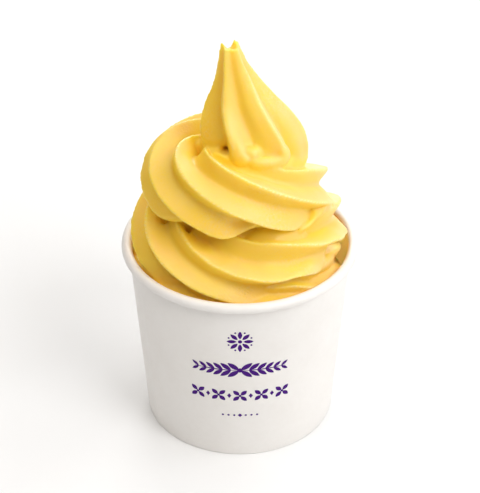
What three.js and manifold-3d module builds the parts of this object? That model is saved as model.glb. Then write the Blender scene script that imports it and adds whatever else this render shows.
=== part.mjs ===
// A paper cup of frozen yogurt: a cup wall with a rolled rim, a raised cup bottom, and the yogurt itself,
// piped as one star-shaped strand that climbs in a coil and ends in a torn peak.
// Millimetres, +Z up. The origin is the centre of the ring that the cup stands on, and -Y is the front.

import * as THREE from 'three';
import { mergeVertices } from 'three/addons/utils/BufferGeometryUtils.js';
import Module from 'manifold-3d';

// ---- Cup ----
const CUP_HEIGHT = 81.0;
const BASE_RADIUS = 38.5;
const RIM_RADIUS = 47.5;
const ROLL_RADIUS = 2.04;
const SHOULDER_RADIUS = 44.55; // outside of the wall where it meets the underside of the rolled rim
const SHOULDER_HEIGHT = CUP_HEIGHT - 2 * ROLL_RADIUS;
const WALL = 0.7;
const HEM_WALL = 0.5; // the wall turned in and up at the foot of the cup
const HEM_HEIGHT = 6.0;
const SKIRT_WALL = 0.5; // the bottom's turned-down edge, held between wall and hem
const SKIRT_FOOT = 1.4;
const SKIRT_BEND = { width: 0.4, drop: 0.8 }; // underside of the bend at the bottom's edge
const FLOOR_TOP = 8.6;
const FLOOR_THICKNESS = 0.6;
const FLOOR_BEVEL = 0.5;
const HEM_FOLD = 1.0; // height of the fold that joins wall and hem at the foot
const GAP = 0.3; // clearance between neighbouring pieces
const CUP_SIDES = 60;
const ROLL_ARC = { from: -120, to: 210, steps: 11 }; // the rolled rim's round, from its outside over the top

// ---- Coil of yogurt ----
const LOBES = 7; // ridges of the star-shaped strand
// A star's depth is that of a groove, as a share of the half width, and its softness rounds the crests.
// A skew above 0 puts each groove close behind the ridge before it, and below 0 close before the next one.
const COIL_STAR = { depth: 0.3, softness: 0.1, skew: -0.45 };
const COIL_CENTRE = { x: -2.0, y: -0.2 };
const STEP_DEG = 9; // one cross-section every so many degrees of the coil
const SEGMENT_DEG = 90; // the coil is joined from pieces of this length
const ROW_DEG = 90; // the coil's table has a row for each of these
const FRONT_DEG = 270; // direction of the front, where each row's roll is measured
const LOBE_SHARES = [0, 0.12, 0.32, 0.62, 0.82, 0.93]; // where a lobe's points lie, from crest to crest

// One row for each quarter turn, from the strand's start under the peak down into the cup.
// radius and height place the strand's centre, halfWidth and halfHeight are its size,
// roll is how far its ridges lean, in degrees, and flatFrom is where its underside begins to be pressed flat,
// as the sine of the angle below level.
const COIL = [
  { radius: 14.0, height: 112.0, halfWidth: 12.0, halfHeight: 12.5, roll: -75, flatFrom: 0.5 },
  { radius: 17.0, height: 111.5, halfWidth: 16.8, halfHeight: 16.0, roll: -60, flatFrom: 0.5 },
  { radius: 20.0, height: 111.6, halfWidth: 17.2, halfHeight: 17.4, roll: -41, flatFrom: 0.5 },
  { radius: 21.0, height: 113.6, halfWidth: 17.2, halfHeight: 18.4, roll: -42, flatFrom: 0.52 },
  { radius: 21.6, height: 103.2, halfWidth: 17.7, halfHeight: 18.4, roll: -29, flatFrom: 0.2 },
  { radius: 20.0, height: 92.1, halfWidth: 17.4, halfHeight: 17.8, roll: -20, flatFrom: 0.5 },
  { radius: 23.4, height: 87.2, halfWidth: 18.2, halfHeight: 17.0, roll: -29, flatFrom: 0.5 },
  { radius: 24.7, height: 85.0, halfWidth: 18.7, halfHeight: 16.3, roll: -24, flatFrom: 0.52 },
  { radius: 26.6, height: 88.8, halfWidth: 19.0, halfHeight: 16.0, roll: -28, flatFrom: 0.2 },
  { radius: 20.0, height: 82.0, halfWidth: 16.0, halfHeight: 15.5, roll: -35, flatFrom: 0.5 },
  { radius: 25.5, height: 73.0, halfWidth: 16.0, halfHeight: 15.0, roll: -35, flatFrom: 0.5 },
  { radius: 27.5, height: 70.0, halfWidth: 16.0, halfHeight: 15.0, roll: -30, flatFrom: 0.5 },
  { radius: 29.5, height: 70.0, halfWidth: 16.0, halfHeight: 15.0, roll: -30, flatFrom: 0.4 },
  { radius: 17.5, height: 50.0, halfWidth: 14.0, halfHeight: 13.0, roll: -30, flatFrom: 0.5 },
];
const FLATTENING = 0.38; // share of the strand's size that its pressed underside loses
const FLAT_SPAN = 0.38; // how far below flatFrom the underside is pressed in full

// ---- Peak ----
const PEAK_AXIS = { x: 5.0, y: -0.5 };
// Tilted face that the peak sits on: its level at the axis, its fall over the reach, and its dip under the
// front ridge's toe.
const PEAK_FOOT = { level: 122.9, fallX: -7.0, fallY: -5.8, reach: 20.5 };
const TOE = { x: -0.2, y: -19.8, drop: 3.2, width: 5.5 };
const PEAK_STAR = { depth: 0.33, softness: 0.2, skew: 0 };
const PEAK_SKEW_SWING = 0.7; // the grooves beside the front ridge both lie close to it
const PEAK_LEAN = [ // how far the peak's centre leans sideways at each height
  [115, 5.3], [125, 5.2], [130, 4.7], [137, 2.9], [143, 1.4], [150, -0.2], [160, -2.6], [171, -4.1],
];
const PEAK_RADIUS = [ // radius over the ridges at each height
  [100, 20.6], [116, 21.0], [120, 21.3], [124, 21.4], [128.4, 21.0], [132.5, 20.2],
  [137.4, 18.4], [142.8, 15.4], [150.8, 10.4], [159.5, 6.4], [166, 4.5], [172, 3.0],
];
const PEAK_FRONT_DEG = [ // direction halfway between the two front ridges at each height
  [130, 280.3], [133, 280.2], [137, 279.2], [141, 276.5], [144, 274.3], [148, 272.8], [151, 273.8],
  [157, 277.8], [165, 279.5],
];
const PEAK_FRONT_GAP_DEG = [ // angle between the two front ridges at each height
  [130, 56.5], [133, 58.5], [137, 61.3], [141, 65], [144, 68.5], [148, 73.5], [151, 76.5],
  [157, 83.5], [165, 83],
];
const FOOT_ROUNDING = 4.0; // height over which the peak's foot rounds in
const FOOT_PULL_IN = 0.06;
const FOOT_FILLING = 0.15; // share of a groove's depth that is filled at the foot
// How far the ridges sweep sideways in the last stretch above the foot, and on which side they don't.
const FOOT_SWEEP = { deg: 20, height: 7.0, fromDeg: 190, power: 2, easeFrom: 0.05, easeTo: 0.55 };
const PEAK_BASE = { depth: 8.0, share: 0.93, sink: 0.8 }; // round base under the peak, inside the coil
// Ends of the front ridges: the second is curled sideways along the foot. Each row has the direction from the
// peak's centre, the distance from it, the height and the radius.
const CURL_ROWS = [
  [309, 18.0, 133.5, 2.0], [308.5, 18.6, 130.0, 2.8], [304, 19.0, 128.0, 2.8], [296, 19.1, 127.6, 2.6],
  [286, 19.3, 127.9, 2.5], [275, 19.4, 128.3, 2.4], [265, 19.2, 128.6, 1.9],
];
const TOE_ROWS = [
  [246, 12.5, 140.0, 2.2], [249, 15.0, 136.0, 2.8], [251, 16.6, 132.5, 3.3], [253.5, 17.7, 130.2, 3.5],
  [259, 17.9, 129.8, 3.3], [264, 17.2, 130.4, 2.6],
];
const ROD_SIDES = 10;
const ROD_STEPS = 2; // sections for each row of a rod's table
const TIP_LEVEL = 168.4;
const TIP_PRONGS = [ // torn points and the notch between them: direction, rise over the tip, sharpness
  { deg: 190, rise: 1.7, power: 6 },
  { deg: 40, rise: 2.0, power: 4 },
  { deg: 112, rise: -3.4, power: 4 },
];
const TIP_HOLLOW = { level: 166.0, width: 0.4, rise: 0.3 }; // hollow between the torn points
const PEAK_ROWS = 15;
const PEAK_ROW_POWER = 1.15; // above 1, rows lie closer together at the foot
const PEAK_LOBE_SIDES = 7; // points across one ridge, the first on its crest
const SETTLING_STEPS = 16;
const PRESS_RADIUS = 19.5; // the peak presses the coil down inside this radius
const PRESS_SLOPE = 0.55;
const PRESS_REST = 0.12; // share of the height above the pressed face that is left
const PRESS_SINK = 0.6;

// ---- Filling ----
// Level of the filling at the cup's wall: low at the back, higher by the rise at the front, with its middle
// higher by the crown.
const FILL = { low: 60.0, rise: 16.0, highDeg: 265, spread: 0.35, crown: 4.0 };
const FILL_RINGS = { crownRadius: 35.0, flatRadius: 13.0 };
const CORE_OUTLINE = [ // the middle that the coil closes round, as [radius, height] from the filling up
  [28, 52], [28, 84], [26, 100], [22, 113], [12, 121],
];
const CLEAR_OF_RIM = 60.0; // radius and height of the free space above the cup
const CLEAR_HEIGHT = 200.0;
const CLEAR_ARC = { from: 185, to: 90, steps: 5 }; // how the yogurt is kept off the rim's round
const MERGE_DISTANCE = 0.02; // corners of a joined solid closer than this become one

const wasm = await Module();
wasm.setup();

const radians = THREE.MathUtils.degToRad;
const PEAK_START = radians(PEAK_FRONT_DEG[0][1]); // direction halfway between the front ridges at the foot

// ---------- Helpers ----------

// Value between the rows of a table of [position, value] pairs, as a smooth curve.
function smoothTable(table) {
  const interpolant = new THREE.CubicInterpolant(table.map((row) => row[0]), table.map((row) => row[1]), 1);
  return (position) => {
    const first = table[0][0];
    const last = table[table.length - 1][0];
    return interpolant.evaluate(THREE.MathUtils.clamp(position, first, last))[0];
  };
}

// Closed geometry from rings of points of equal count; each end is closed by a fan to its own centre.
function closedLoft(rings) {
  const count = rings[0].length;
  const positions = [];
  const indices = [];
  rings.forEach((ring) => ring.forEach((point) => positions.push(point.x, point.y, point.z)));
  for (let row = 0; row + 1 < rings.length; row += 1) {
    for (let column = 0; column < count; column += 1) {
      const next = (column + 1) % count;
      const a = row * count + column;
      const b = row * count + next;
      const c = (row + 1) * count + next;
      const d = (row + 1) * count + column;
      indices.push(a, b, c, a, c, d);
    }
  }
  [0, rings.length - 1].forEach((row) => {
    const centre = new THREE.Vector3();
    rings[row].forEach((point) => centre.add(point));
    centre.divideScalar(count);
    const hub = positions.length / 3;
    positions.push(centre.x, centre.y, centre.z);
    for (let column = 0; column < count; column += 1) {
      const next = (column + 1) % count;
      const a = row * count + column;
      const b = row * count + next;
      if (row === 0) indices.push(hub, b, a);
      else indices.push(hub, a, b);
    }
  });
  const geometry = new THREE.BufferGeometry();
  geometry.setAttribute('position', new THREE.Float32BufferAttribute(positions, 3));
  geometry.setIndex(indices);
  return facingOut(geometry);
}

// The same indexed geometry, with its faces turned over if they point inwards.
function facingOut(geometry) {
  const position = geometry.attributes.position;
  const index = geometry.index.array;
  const [a, b, c] = [new THREE.Vector3(), new THREE.Vector3(), new THREE.Vector3()];
  let volume = 0;
  for (let i = 0; i < index.length; i += 3) {
    a.fromBufferAttribute(position, index[i]);
    b.fromBufferAttribute(position, index[i + 1]);
    c.fromBufferAttribute(position, index[i + 2]);
    volume += a.dot(b.cross(c));
  }
  if (volume < 0) {
    for (let i = 0; i < index.length; i += 3) {
      [index[i + 1], index[i + 2]] = [index[i + 2], index[i + 1]];
    }
  }
  return geometry;
}

// Solid turned about the Z axis from a closed outline of [radius, height] pairs. A part of a side as
// offset keeps its edges off those of a neighbour with as many sides.
function turned(outline, sides, offset = 0) {
  const points = outline.map(([radius, height]) => new THREE.Vector2(radius, height));
  const geometry = new THREE.LatheGeometry(points, sides, (offset * 2 * Math.PI) / sides);
  geometry.rotateX(Math.PI / 2);
  geometry.deleteAttribute('normal');
  geometry.deleteAttribute('uv');
  return facingOut(withoutSlivers(mergeVertices(geometry, 1e-4)));
}

// The same indexed geometry without the triangles that have lost a side at the axis.
function withoutSlivers(geometry) {
  const index = geometry.index.array;
  const kept = [];
  for (let i = 0; i < index.length; i += 3) {
    const [a, b, c] = [index[i], index[i + 1], index[i + 2]];
    if (a !== b && b !== c && c !== a) kept.push(a, b, c);
  }
  geometry.setIndex(kept);
  return geometry;
}

function solidFrom(geometry) {
  return new wasm.Manifold(new wasm.Mesh({
    numProp: 3,
    vertProperties: new Float32Array(geometry.attributes.position.array),
    triVerts: new Uint32Array(geometry.index.array),
  }));
}

// The same solid with its sealed hollows filled: of its separate skins, the one round the most space.
function withoutHollows(solid) {
  return solid.decompose().reduce((largest, skin) => (skin.volume() > largest.volume() ? skin : largest));
}

function geometryFrom(solid) {
  const mesh = solid.getMesh();
  const raw = new THREE.BufferGeometry();
  raw.setAttribute('position', new THREE.Float32BufferAttribute(mesh.vertProperties, 3));
  raw.setIndex(Array.from(mesh.triVerts));
  const geometry = withoutSlivers(mergeVertices(raw, MERGE_DISTANCE));
  geometry.computeVertexNormals();
  return geometry;
}

// ---------- Cup ----------

function wallRadius(height) {
  return BASE_RADIUS + ((SHOULDER_RADIUS - BASE_RADIUS) * height) / SHOULDER_HEIGHT;
}

// Points round the rolled rim's centre, as [radius, height] pairs, between two angles in degrees.
function rollArc(size, { from, to, steps }) {
  const centreRadius = RIM_RADIUS - ROLL_RADIUS;
  const centreHeight = CUP_HEIGHT - ROLL_RADIUS;
  return Array.from({ length: steps + 1 }, (_, i) => {
    const angle = radians(from + ((to - from) * i) / steps);
    return [centreRadius + size * Math.cos(angle), centreHeight + size * Math.sin(angle)];
  });
}

function cupWallGeometry() {
  const channel = SKIRT_WALL + 2 * GAP;
  const outline = [
    [wallRadius(0), 0],
    ...rollArc(ROLL_RADIUS, ROLL_ARC),
    [wallRadius(SHOULDER_HEIGHT) - WALL, SHOULDER_HEIGHT],
    [wallRadius(HEM_FOLD) - WALL, HEM_FOLD],
    [wallRadius(HEM_FOLD) - WALL - channel, HEM_FOLD],
    [wallRadius(HEM_HEIGHT) - WALL - channel, HEM_HEIGHT],
    [wallRadius(HEM_HEIGHT) - WALL - channel - HEM_WALL, HEM_HEIGHT],
    [wallRadius(0) - WALL - channel - HEM_WALL, 0],
  ];
  return turned([...outline, outline[0]], CUP_SIDES);
}

function cupBottomGeometry() {
  const edge = (height) => wallRadius(height) - WALL - GAP;
  const outline = [
    [0, FLOOR_TOP - FLOOR_THICKNESS],
    [edge(SKIRT_FOOT) - SKIRT_WALL - SKIRT_BEND.width, FLOOR_TOP - FLOOR_THICKNESS],
    [edge(HEM_HEIGHT) - SKIRT_WALL, FLOOR_TOP - FLOOR_THICKNESS - SKIRT_BEND.drop],
    [edge(SKIRT_FOOT) - SKIRT_WALL, SKIRT_FOOT],
    [edge(SKIRT_FOOT), SKIRT_FOOT],
    [edge(FLOOR_TOP - FLOOR_BEVEL), FLOOR_TOP - FLOOR_BEVEL],
    [edge(FLOOR_TOP) - FLOOR_BEVEL, FLOOR_TOP],
    [0, FLOOR_TOP],
  ];
  return turned(outline, CUP_SIDES);
}

// ---------- Yogurt ----------

// Share of the full size at an angle from a ridge: 1 on the crest, less in the groove.
function starShare(angle, { depth, softness, skew }) {
  const phase = LOBES * angle;
  const across = Math.abs(Math.sin((phase + skew * (1 - Math.cos(phase))) / 2));
  const rounded = Math.hypot(across, softness) - softness;
  return 1 - (depth * rounded) / (Math.hypot(1, softness) - softness);
}

// Angles round a star section that put a point on every crest and in every groove.
function starAngles() {
  const angles = [];
  for (let lobe = 0; lobe < LOBES; lobe += 1) {
    LOBE_SHARES.forEach((share) => angles.push(((lobe + share) * 2 * Math.PI) / LOBES));
  }
  return angles;
}

// Size and place of the strand at an angle along the coil, eased between the quarter-turn rows.
function coilAt(deg) {
  const place = THREE.MathUtils.clamp(deg / ROW_DEG, 0, COIL.length - 1);
  const row = Math.min(Math.floor(place), COIL.length - 2);
  const t = place - row;
  const at = (i) => COIL[THREE.MathUtils.clamp(i, 0, COIL.length - 1)];
  const ease = (key) => {
    const [a, b, c, d] = [at(row - 1)[key], at(row)[key], at(row + 1)[key], at(row + 2)[key]];
    return b + 0.5 * t * (c - a + t * (2 * a - 5 * b + 4 * c - d + t * (3 * (b - c) + d - a)));
  };
  return {
    radius: ease('radius'),
    height: ease('height'),
    halfWidth: ease('halfWidth'),
    halfHeight: ease('halfHeight'),
    roll: ease('roll'),
    flatFrom: ease('flatFrom'),
  };
}

// Height of the tilted face under the peak at a place.
function peakFootAt(x, y) {
  const { level, fallX, fallY, reach } = PEAK_FOOT;
  const fromToe = Math.hypot(x - TOE.x, y - TOE.y) / TOE.width;
  const plane = level + (fallX * (x - PEAK_AXIS.x) + fallY * (y - PEAK_AXIS.y)) / reach;
  return plane - TOE.drop * Math.exp(-(fromToe ** 2));
}

// Presses a point of the coil down where the peak rests on it.
function pressed(point) {
  const away = Math.hypot(point.x - PEAK_AXIS.x, point.y - PEAK_AXIS.y);
  const limit = peakFootAt(point.x, point.y) - PRESS_SINK + Math.max(0, away - PRESS_RADIUS) * PRESS_SLOPE;
  const above = point.z - limit;
  if (above > 0) point.z = limit + above * PRESS_REST;
  return point;
}

function coilRing(deg) {
  const { radius, height, halfWidth, halfHeight, roll, flatFrom } = coilAt(deg);
  const turn = radians(deg);
  return starAngles().map((angle) => {
    const around = angle + radians(roll) - (turn - radians(FRONT_DEG));
    const pressedFlat = THREE.MathUtils.smoothstep(-Math.sin(around), flatFrom, flatFrom + FLAT_SPAN);
    const share = starShare(angle, COIL_STAR) * (1 - FLATTENING * pressedFlat);
    const out = radius + halfWidth * share * Math.cos(around);
    return pressed(new THREE.Vector3(
      COIL_CENTRE.x + out * Math.cos(turn),
      COIL_CENTRE.y + out * Math.sin(turn),
      height + halfHeight * share * Math.sin(around),
    ));
  });
}

function coilSolids() {
  const end = (COIL.length - 1) * ROW_DEG;
  const solids = [];
  for (let from = 0; from < end; from += SEGMENT_DEG) {
    const rings = [];
    for (let deg = from; deg <= from + SEGMENT_DEG; deg += STEP_DEG) rings.push(coilRing(deg));
    solids.push(solidFrom(closedLoft(rings)));
  }
  return solids;
}

const peakRadiusAt = smoothTable(PEAK_RADIUS);
const peakLeanAt = smoothTable(PEAK_LEAN);
const peakFrontAt = smoothTable(PEAK_FRONT_DEG);
const peakFrontGapAt = smoothTable(PEAK_FRONT_GAP_DEG);

function tipLevel(angle) {
  const rise = (prong) => prong.rise * Math.max(0, Math.cos(angle - radians(prong.deg))) ** prong.power;
  return TIP_LEVEL + TIP_PRONGS.reduce((sum, prong) => sum + rise(prong), 0);
}

// Height of the peak's skin in a direction, at a share of the way from foot to tip, with the direction
// halfway between the front ridges there and the angle between them.
function peakLevel(share, angle) {
  const { reach } = PEAK_FOOT;
  const foot = peakFootAt(PEAK_AXIS.x + reach * Math.cos(angle), PEAK_AXIS.y + reach * Math.sin(angle));
  const height = foot + (tipLevel(angle) - foot) * share;
  const nearFoot = Math.max(0, 1 - (height - foot) / FOOT_SWEEP.height) ** FOOT_SWEEP.power;
  const side = (1 - Math.cos(angle - radians(FOOT_SWEEP.fromDeg))) / 2;
  const swept = THREE.MathUtils.smoothstep(side, FOOT_SWEEP.easeFrom, FOOT_SWEEP.easeTo) * nearFoot;
  return {
    foot,
    height,
    front: radians(peakFrontAt(height) - FOOT_SWEEP.deg * swept),
    gap: radians(peakFrontGapAt(height)),
  };
}

// Point of the peak at a share of its height and an angle round its star section. The ridges lie closer
// together at the back and sweep sideways at the foot, so the direction is settled step by step.
function peakPoint(share, section) {
  let across = section - Math.PI / LOBES;
  let angle = across + PEAK_START;
  for (let step = 0; step < SETTLING_STEPS; step += 1) {
    const { front, gap } = peakLevel(share, angle);
    const crowding = (gap / 2 - Math.PI / LOBES) / Math.sin(gap / 2);
    across = section - Math.PI / LOBES + crowding * Math.sin(across);
    angle = across + front;
  }
  const { foot, height, gap } = peakLevel(share, angle);
  const rounding = Math.max(0, 1 - (height - foot) / FOOT_ROUNDING);
  const skew = PEAK_SKEW_SWING * Math.sin(across + gap / 2);
  const ribbing = (1 - starShare(section, { ...PEAK_STAR, skew })) * (1 - FOOT_FILLING * rounding);
  const out = peakRadiusAt(height) * (1 - FOOT_PULL_IN * rounding ** 2) * (1 - ribbing);
  return new THREE.Vector3(
    peakLeanAt(height) + out * Math.cos(angle),
    PEAK_AXIS.y + out * Math.sin(angle),
    height,
  );
}

// Point of the round base under the peak, a depth below its foot.
function peakBasePoint(section, depth) {
  const angle = section - Math.PI / LOBES + PEAK_START;
  const reach = PEAK_BASE.share * peakRadiusAt(PEAK_FOOT.level);
  const [x, y] = [PEAK_AXIS.x + reach * Math.cos(angle), PEAK_AXIS.y + reach * Math.sin(angle)];
  return new THREE.Vector3(x, y, peakFootAt(x, y) - depth);
}

function peakSolid() {
  const sides = LOBES * PEAK_LOBE_SIDES;
  const sections = Array.from({ length: sides }, (_, i) => (i * 2 * Math.PI) / sides);
  const rings = [
    sections.map((section) => peakBasePoint(section, PEAK_BASE.sink + PEAK_BASE.depth)),
    sections.map((section) => peakBasePoint(section, PEAK_BASE.sink)),
  ];
  for (let row = 0; row <= PEAK_ROWS; row += 1) {
    const share = (row / PEAK_ROWS) ** PEAK_ROW_POWER;
    rings.push(sections.map((section) => peakPoint(share, section)));
  }
  const torn = rings[rings.length - 1].map((point) => new THREE.Vector3(
    THREE.MathUtils.lerp(peakLeanAt(TIP_LEVEL), point.x, TIP_HOLLOW.width),
    THREE.MathUtils.lerp(PEAK_AXIS.y, point.y, TIP_HOLLOW.width),
    THREE.MathUtils.lerp(TIP_HOLLOW.level, point.z, TIP_HOLLOW.rise),
  ));
  rings.push(torn);
  return solidFrom(closedLoft(rings));
}

// Rod along the peak's foot from a table of rows, with its ends closed.
function rodSolid(rows) {
  const points = rows.map(([deg, distance, height]) => new THREE.Vector3(
    peakLeanAt(height) + distance * Math.cos(radians(deg)),
    PEAK_AXIS.y + distance * Math.sin(radians(deg)),
    height,
  ));
  const curve = new THREE.CatmullRomCurve3(points);
  const last = rows.length - 1;
  const rings = Array.from({ length: last * ROD_STEPS + 1 }, (_, i) => {
    const place = i / ROD_STEPS;
    const row = Math.min(Math.floor(place), last - 1);
    const size = THREE.MathUtils.lerp(rows[row][3], rows[row + 1][3], place - row);
    const centre = curve.getPoint(place / last);
    const along = curve.getTangent(place / last);
    const side = new THREE.Vector3().crossVectors(along, centre).normalize();
    const outward = new THREE.Vector3().crossVectors(side, along);
    return Array.from({ length: ROD_SIDES }, (__, j) => {
      const angle = (j * 2 * Math.PI) / ROD_SIDES;
      return centre.clone()
        .addScaledVector(side, size * Math.cos(angle))
        .addScaledVector(outward, size * Math.sin(angle));
    });
  });
  return solidFrom(closedLoft(rings));
}

// Everything inside the cup's clearance, and the free space above the rim.
function clearanceSolid() {
  const edge = (height) => wallRadius(height) - WALL - GAP;
  const outline = [
    [0, FLOOR_TOP + GAP],
    [edge(FLOOR_TOP + GAP), FLOOR_TOP + GAP],
    [edge(SHOULDER_HEIGHT), SHOULDER_HEIGHT],
    ...rollArc(ROLL_RADIUS + GAP, CLEAR_ARC),
    [CLEAR_OF_RIM, CUP_HEIGHT + GAP],
    [CLEAR_OF_RIM, CLEAR_HEIGHT],
    [0, CLEAR_HEIGHT],
  ];
  return solidFrom(turned(outline, CUP_SIDES));
}

function fillingSolid() {
  const angles = Array.from({ length: CUP_SIDES }, (_, i) => ((i + 0.5) * 2 * Math.PI) / CUP_SIDES);
  const level = (angle) => {
    const side = Math.cos(angle - radians(FILL.highDeg));
    return FILL.low + FILL.rise * THREE.MathUtils.smoothstep(side, -FILL.spread, FILL.spread);
  };
  const ring = (radius, heightAt) => angles.map((angle) => new THREE.Vector3(
    radius * Math.cos(angle),
    radius * Math.sin(angle),
    heightAt(angle),
  ));
  return solidFrom(closedLoft([
    ring(RIM_RADIUS, () => 0),
    ring(RIM_RADIUS, level),
    ring(FILL_RINGS.crownRadius, (angle) => level(angle) + FILL.crown),
    ring(FILL_RINGS.flatRadius, () => FILL.low + FILL.rise / 2 + FILL.crown),
  ]));
}

function coreSolid() {
  const [first, last] = [CORE_OUTLINE[0], CORE_OUTLINE[CORE_OUTLINE.length - 1]];
  const geometry = turned([[0, first[1]], ...CORE_OUTLINE, [0, last[1]]], CUP_SIDES / 2);
  return solidFrom(geometry.translate(COIL_CENTRE.x, COIL_CENTRE.y, 0));
}

function yogurtGeometry() {
  const inside = [fillingSolid(), coreSolid()];
  const peak = [peakSolid(), rodSolid(CURL_ROWS), rodSolid(TOE_ROWS)];
  const joined = [...inside, ...peak, ...coilSolids()].reduce((sum, part) => sum.add(part));
  return geometryFrom(withoutHollows(joined.intersect(clearanceSolid())));
}

// ---------- Scene ----------

const paper = new THREE.MeshStandardMaterial({ color: 0xf6f5f3, roughness: 0.55, metalness: 0 });
const paperBottom = new THREE.MeshStandardMaterial({ color: 0xf2f0ec, roughness: 0.6, metalness: 0 });
const yogurt = new THREE.MeshStandardMaterial({ color: 0xf9cf62, roughness: 0.45, metalness: 0 });

function named(name, geometry, material) {
  const mesh = new THREE.Mesh(geometry, material);
  mesh.name = name;
  return mesh;
}

const cupOfYogurt = new THREE.Group();
cupOfYogurt.add(named('cup_wall', cupWallGeometry(), paper));
cupOfYogurt.add(named('cup_bottom', cupBottomGeometry(), paperBottom));
cupOfYogurt.add(named('frozen_yogurt', yogurtGeometry(), yogurt));

export default cupOfYogurt;
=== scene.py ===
"""A paper cup of frozen yogurt, dressed for a soft studio view.

The yogurt is one star-shaped strand swept along a coil, with a torn peak on top. The cup is a turned wall
with a rolled rim and a lapped seam, a raised bottom and a small printed motif. Sizes are in millimetres in
the classes below, and become metres where a mesh is made.
"""

import logging
import math
from dataclasses import dataclass, field
from enum import IntEnum
from typing import Any, Callable, Sequence

import bmesh
import bpy
import numpy as np
from bpy.types import Material, Mesh, Node, NodeSocket, NodeTree, Object
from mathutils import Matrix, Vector, kdtree, noise
from mathutils.bvhtree import BVHTree

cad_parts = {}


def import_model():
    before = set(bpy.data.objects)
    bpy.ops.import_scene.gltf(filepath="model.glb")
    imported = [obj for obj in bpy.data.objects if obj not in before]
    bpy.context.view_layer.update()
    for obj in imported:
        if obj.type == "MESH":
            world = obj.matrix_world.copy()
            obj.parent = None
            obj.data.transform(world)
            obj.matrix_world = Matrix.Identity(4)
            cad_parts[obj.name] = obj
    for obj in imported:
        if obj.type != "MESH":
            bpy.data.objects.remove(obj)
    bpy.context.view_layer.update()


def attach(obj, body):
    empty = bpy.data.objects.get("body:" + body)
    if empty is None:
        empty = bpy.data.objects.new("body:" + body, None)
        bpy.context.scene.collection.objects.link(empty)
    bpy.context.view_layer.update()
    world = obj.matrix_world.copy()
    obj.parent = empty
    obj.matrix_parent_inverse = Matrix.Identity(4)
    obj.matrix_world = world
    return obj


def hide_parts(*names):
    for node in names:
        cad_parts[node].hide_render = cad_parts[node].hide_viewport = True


LOG = logging.getLogger("frozen_yogurt_cup")
MM = 0.001
BODY = "root"
FRONT = math.radians(270.0)
ROD_STEPS = 61
ROD_SIDES = 32
ROD_END_STEPS = 8
ROD_END_LEAST = 0.05
ROD_RIDGE = 0.6
LEAF_POWER = 0.8
NOISE_MIDDLE = 0.5
NOISE_SPAN = (0.3, 0.7)
TINY = 1e-6

Colour = tuple[float, float, float, float]
Table = tuple[tuple[float, ...], ...]


# ---------------------------------------------------------------- curves and meshes


def catmull_rom(rows: Sequence[Sequence[float]], place: np.ndarray) -> np.ndarray:
    """Reads evenly spaced rows of values as smooth curves.

    Args:
        rows: One row of values for each whole number of place.
        place: Where to read, from 0 to the last row.

    Returns:
        One row of values for each entry of place.
    """
    rows = np.array(rows, float)
    last = len(rows) - 1
    row = np.minimum(place.astype(int), last - 1)
    t = (place - row)[:, None]
    a, b, c, d = (rows[np.clip(row + i, 0, last)] for i in (-1, 0, 1, 2))
    return b + 0.5 * t * (c - a + t * (2 * a - 5 * b + 4 * c - d + t * (3 * (b - c) + d - a)))


def hermite(table: Table, at: Any) -> np.ndarray:
    """Reads an unevenly spaced table as a smooth curve.

    Args:
        table: Pairs of position and value, in rising order of position.
        at: The positions to read, held inside the table's ends.

    Returns:
        The value at each position.
    """
    x, y = np.array(table, float).T
    slope = np.gradient(y, x)
    at = np.clip(at, x[0], x[-1])
    i = np.clip(np.searchsorted(x, at, side="right") - 1, 0, len(x) - 2)
    width = x[i + 1] - x[i]
    t = (at - x[i]) / width
    start = y[i] * (1 + 2 * t) * (1 - t) ** 2 + slope[i] * width * t * (1 - t) ** 2
    return start + y[i + 1] * t**2 * (3 - 2 * t) + slope[i + 1] * width * t**2 * (t - 1)


def smooth_step(low: float, high: float, value: Any) -> Any:
    """Eases from 0 at low to 1 at high."""
    t = np.clip((value - low) / (high - low), 0.0, 1.0)
    return t * t * (3 - 2 * t)


@dataclass
class Skin:
    """A closed skin: its points in millimetres, its faces, and how close each point is to a ridge."""

    points: np.ndarray
    faces: list[list[int]]
    ridge: np.ndarray


def grid_faces(rows: int, columns: int, wrapped: bool) -> list[list[int]]:
    """Lists the faces between rows of points, each of which closes on itself.

    Args:
        rows: How many rows there are.
        columns: How many points each row has.
        wrapped: Whether the last row joins the first.

    Returns:
        The point numbers of each face.
    """
    return [
        [r * columns + c, r * columns + (c + 1) % columns,
         (r + 1) % rows * columns + (c + 1) % columns, (r + 1) % rows * columns + c]
        for r in range(rows if wrapped else rows - 1)
        for c in range(columns)
    ]


def lofted(rings: Sequence[np.ndarray]) -> Skin:
    """Joins rings of equal count into one skin, closed at each end by a fan to the ring's own middle.

    Args:
        rings: The rings, each an array of point and x, y, z.

    Returns:
        The skin, with no ridges.
    """
    rings = np.array(rings)
    count, sides = rings.shape[:2]
    first, last = count * sides, (count - 1) * sides
    points = np.vstack([rings.reshape(-1, 3), rings[0].mean(0), rings[-1].mean(0)])
    faces = grid_faces(count, sides, False)
    for s in range(sides):
        faces += [[first, (s + 1) % sides, s], [first + 1, last + s, last + (s + 1) % sides]]
    return Skin(points, faces, np.zeros(len(points)))


def turned(outline: Sequence[tuple[float, float]], sides: int) -> Skin:
    """Turns a closed outline about the upright axis.

    Args:
        outline: Pairs of radius and height, without the first repeated.
        sides: How many faces go round.

    Returns:
        The skin, with no ridges.
    """
    radius, height = np.array(outline, float).T
    angles = np.arange(sides)[:, None] * 2 * math.pi / sides
    rings = np.stack([radius * np.cos(angles), radius * np.sin(angles), height + 0 * angles], 2)
    points = rings.reshape(-1, 3)
    return Skin(points, grid_faces(sides, len(outline), True), np.zeros(len(points)))


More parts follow.
